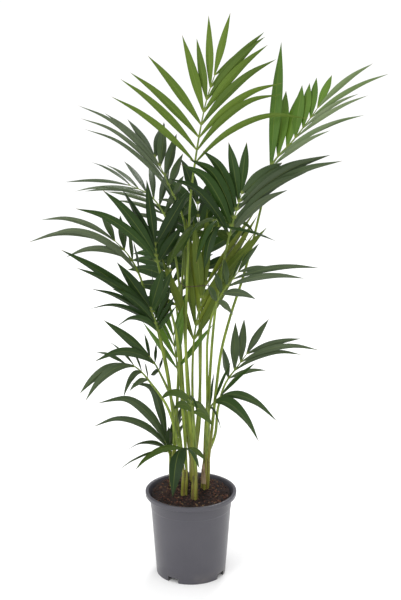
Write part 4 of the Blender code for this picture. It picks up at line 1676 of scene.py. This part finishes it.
class CrumbTree(GrowthTree):
    """The tree that scatters uneven crumbs over the top of a closed bed."""

    SIZES = {
        "Density": ("Float", 60000.0),
        "Size": ("Float", 0.0011),
        "Flatness": ("Float", 0.8),
        "Length": ("Float", 1.2),
        "Reach": ("Float", 0.08),
        "Keep Bed": ("Bool", True),
        "Seed": ("Int", 1),
        "Material": ("Material", None),
    }

    def __init__(self) -> None:
        """Builds the tree."""
        super().__init__("scatter crumbs", self.SIZES)
        bed, seed = self.entry.outputs["Geometry"], self.size("Seed")
        points = self.store(self.spots(bed, seed), "tone", self.chance(0.0, 1.0, seed + 5))
        turn = self.vector(
            self.chance(-0.6, 0.6, seed + 1),
            self.chance(-0.6, 0.6, seed + 2),
            self.chance(0.0, 6.283, seed + 3),
        )
        size = self.chance(0.45, 1.0, seed) ** 1.6 * self.size("Size") * 1.7
        scale = self.vector(size * self.size("Length"), size, size * self.size("Flatness"))
        crumbs = self.node("GeometryNodeInstanceOnPoints", inputs={
            "Points": points, "Instance": self.stone(), "Rotation": turn, "Scale": scale,
        }).outputs[0]
        kept = self.node(
            "GeometryNodeSwitch", {"input_type": "GEOMETRY"}, {"Switch": self.size("Keep Bed"), "True": bed}
        ).outputs[0]
        self.end(self.join([kept, crumbs]), ((self.size("Material"), None),))

    def spots(self, bed: object, seed: object) -> bpy.types.NodeSocket:
        """The crumbs' places: spread by chance over the faces that look up, clear of the pot's wall.

        Args:
            bed: the bed.
            seed: the number that the chance starts from.

        Returns:
            The points.
        """
        facing = self.node("GeometryNodeInputNormal").outputs[0]
        level = Value(self, self.node("ShaderNodeSeparateXYZ", inputs={0: facing}).outputs[2])
        x, y, _ = self.position()
        inside = 1.0 - (x * x + y * y).above(self.size("Reach") * self.size("Reach"))
        chosen = (level.above(0.5) * inside).above(0.5)
        return self.node(
            "GeometryNodeDistributePointsOnFaces", {"distribute_method": "RANDOM"},
            {"Mesh": bed, "Selection": chosen, "Density": self.size("Density"), "Seed": seed},
        ).outputs["Points"]

    def stone(self) -> bpy.types.NodeSocket:
        """One crumb: a rounded cube with a few knobs, of 24 faces.

        Returns:
            The crumb.
        """
        cube = self.node("GeometryNodeMeshCube", inputs={"Size": (1.9, 1.9, 1.9)}).outputs[0]
        stone = self.node("GeometryNodeSubdivisionSurface", inputs={"Mesh": cube, "Level": 1}).outputs[0]
        here = self.node("GeometryNodeInputPosition").outputs[0]
        knobs = self.value("ShaderNodeTexNoise", inputs={"Vector": here, "Scale": 1.3, "Detail": 1.0})
        offset = self.scaled(here, (knobs - 0.5) * 1.5)
        return self.node("GeometryNodeSetPosition", inputs={"Geometry": stone, "Offset": offset}).outputs[0]


# Tie


@dataclass
class Tie:
    """The thin dark tie round the stalks."""

    node: str = "plant_tie"
    radius: float = 0.0008
    slack: float = 0.0002
    smoothings: int = 2
    corner_cuts: tuple[float, float] = (0.2, 0.8)

    def loop(self, solid: bpy.types.Object) -> list[Vector]:
        """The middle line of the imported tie.

        Args:
            solid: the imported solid.

        Returns:
            The line's corners.
        """
        points = [vertex.co.copy() for vertex in solid.data.vertices]
        height = sum(point.z for point in points) / len(points)
        hull = convex_hull_2d([point.to_2d() for point in points])
        corners = [points[index].to_2d() for index in hull]
        middle = sum(corners, Vector((0.0, 0.0))) / len(corners)
        inset = self.radius - self.slack
        return [Vector((*(corner - (corner - middle).normalized() * inset), height)) for corner in corners]

    def build(self, solid: bpy.types.Object, finish: bpy.types.Material) -> bpy.types.Object:
        """Sweeps a round cord along the tie's line.

        Args:
            solid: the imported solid.
            finish: the cord's finish.

        Returns:
            The piece.
        """
        curve = bpy.data.curves.new("tie", "CURVE")
        curve.dimensions = "3D"
        curve.bevel_depth = self.radius
        curve.bevel_resolution = 3
        curve.use_fill_caps = True
        line = self.loop(solid)
        for _ in range(self.smoothings):
            line = [a.lerp(b, share) for a, b in zip(line, line[1:] + line[:1]) for share in self.corner_cuts]
        spline = curve.splines.new("POLY")
        spline.points.add(len(line) - 1)
        spline.use_cyclic_u = True
        for point, place in zip(spline.points, line):
            point.co = (*place, 1.0)
        maker = bpy.data.objects.new("tie_curve", curve)
        bpy.context.scene.collection.objects.link(maker)
        graph = bpy.context.evaluated_depsgraph_get()
        mesh = bpy.data.meshes.new_from_object(maker.evaluated_get(graph), depsgraph=graph)
        bpy.data.objects.remove(maker)
        mesh.shade_smooth()
        return add_piece("palm_tie", mesh, finish)


# Studio


@dataclass(frozen=True)
class SoftBox:
    """A square area light."""

    name: str
    place: Triple
    size: float
    power: float
    target: Triple = (0.0, 0.0, 0.6)

    def build(self) -> None:
        """Adds the light to the scene."""
        lamp = bpy.data.lights.new(self.name, "AREA")
        lamp.size = self.size
        lamp.energy = self.power
        aim_lamp(lamp, self.place, self.target)


@dataclass(frozen=True)
class Skylight:
    """Even light from a wide part of the sky."""

    name: str
    place: Triple
    spread: float
    strength: float

    def build(self) -> None:
        """Adds the light to the scene."""
        lamp = bpy.data.lights.new(self.name, "SUN")
        lamp.angle = math.radians(self.spread)
        lamp.energy = self.strength
        aim_lamp(lamp, self.place, (0.0, 0.0, 0.0))


def aim_lamp(lamp: bpy.types.Light, place: Sequence[float], target: Sequence[float]) -> None:
    """Puts a light in the scene, turned to its target.

    Args:
        lamp: the light.
        place: where it stands.
        target: the point that it faces.
    """
    made = bpy.data.objects.new(lamp.name, lamp)
    made.location = place
    made.rotation_euler = (Vector(target) - Vector(place)).to_track_quat("-Z", "Y").to_euler()
    bpy.context.scene.collection.objects.link(made)


@dataclass(frozen=True)
class Studio:
    """A pale floor, soft lights, a white backdrop that lights little, and the camera."""

    camera_place: Triple = (0.02, -3.0, 1.49)
    camera_pitch: float = 16.6
    lens: float = 93.36
    floor: float = 60.0
    backdrop: float = 0.42
    lights: tuple[SoftBox | Skylight, ...] = (
        Skylight("sky", (-0.3, -0.8, 2.2), 110.0, 2.55),
        SoftBox("key", (-1.6, -2.4, 2.2), 1.0, 20.0),
        SoftBox("back", (0.5, 1.7, 2.3), 0.7, 22.0),
    )

    def build(self) -> None:
        """Adds the floor, the lights and the camera to the scene."""
        scene = bpy.context.scene
        scene.view_settings.view_transform = "Standard"
        world = bpy.data.worlds.new("studio")
        scene.world = world
        world.use_nodes = True
        air = NodeTree(world.node_tree)
        seen = air.node("ShaderNodeLightPath").outputs["Is Camera Ray"]
        backdrop = world.node_tree.nodes["Background"]
        backdrop.inputs["Color"].default_value = (1.0, 1.0, 1.0, 1.0)
        strength = air.value("ShaderNodeMapRange", inputs={"Value": seen, "To Min": self.backdrop})
        air.feed(backdrop.inputs["Strength"], strength)
        shape = bmesh.new()
        bmesh.ops.create_grid(shape, x_segments=1, y_segments=1, size=self.floor / 2)
        paint = Surface("floor paint", 0.7)
        floor = add_piece("floor", mesh_of("floor", shape), paint.finish((0.95, 0.95, 0.95)))
        for light in self.lights:
            light.build()
        eye = bpy.data.cameras.new("camera")
        eye.lens = self.lens
        camera = bpy.data.objects.new("camera", eye)
        camera.location = self.camera_place
        camera.rotation_euler = (math.radians(90 - self.camera_pitch), 0.0, 0.0)
        scene.collection.objects.link(camera)
        scene.camera = camera


def settle(piece: bpy.types.Object, slot: str, *nodes: str) -> None:
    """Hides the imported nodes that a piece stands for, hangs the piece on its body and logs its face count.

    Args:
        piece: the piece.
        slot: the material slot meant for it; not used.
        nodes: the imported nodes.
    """
    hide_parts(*nodes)
    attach(piece, BODY)
    LOG.info("%s: %d faces for %s", piece.name, len(piece.data.polygons), ", ".join(nodes))


def corners(box: Sequence[Sequence[float]]) -> list[list[float]]:
    """A box as plain lists of numbers."""
    return [[float(number) for number in corner] for corner in box]


def main() -> None:
    """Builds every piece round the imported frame."""
    logging.basicConfig(level=logging.INFO, format="%(message)s")
    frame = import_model()
    solids = frame["nodes"]
    Studio().build()

    stalk = StalkFinish("leaf stalk").build()
    greens = {tone: tone.value.build() for tone in Tone}
    tree = LeafTree()
    feet = []
    for leaf in LEAVES:
        piece = leaf.build(tree, solids[leaf.node], greens[leaf.tone], stalk)
        feet.append(leaf.foot)
        settle(piece, "leaf", leaf.node)

    core = CaneFinish("cane", (0.19, 0.14, 0.035), (0.060, 0.075, 0.012), greenness=0.8).build()
    sheath = CaneFinish("dry sheath", (0.60, 0.45, 0.30), (0.20, 0.13, 0.07), greenness=0.7).build()
    for cane in CANES:
        settle(cane.build(solids[cane.node], feet, (core, sheath, stalk)), "cane", cane.node)

    settle(Pot().build(PotFinish("pot grey").build()), "pot", "pot")
    compost = Compost().build(CrumbTree(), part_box("soil"), CompostFinish("compost").build())
    settle(compost, "soil", "soil")
    settle(Tie().build(solids["plant_tie"], CordFinish("tie fibre").build()), "tie", "plant_tie")


if __name__ == "__main__":
    main()
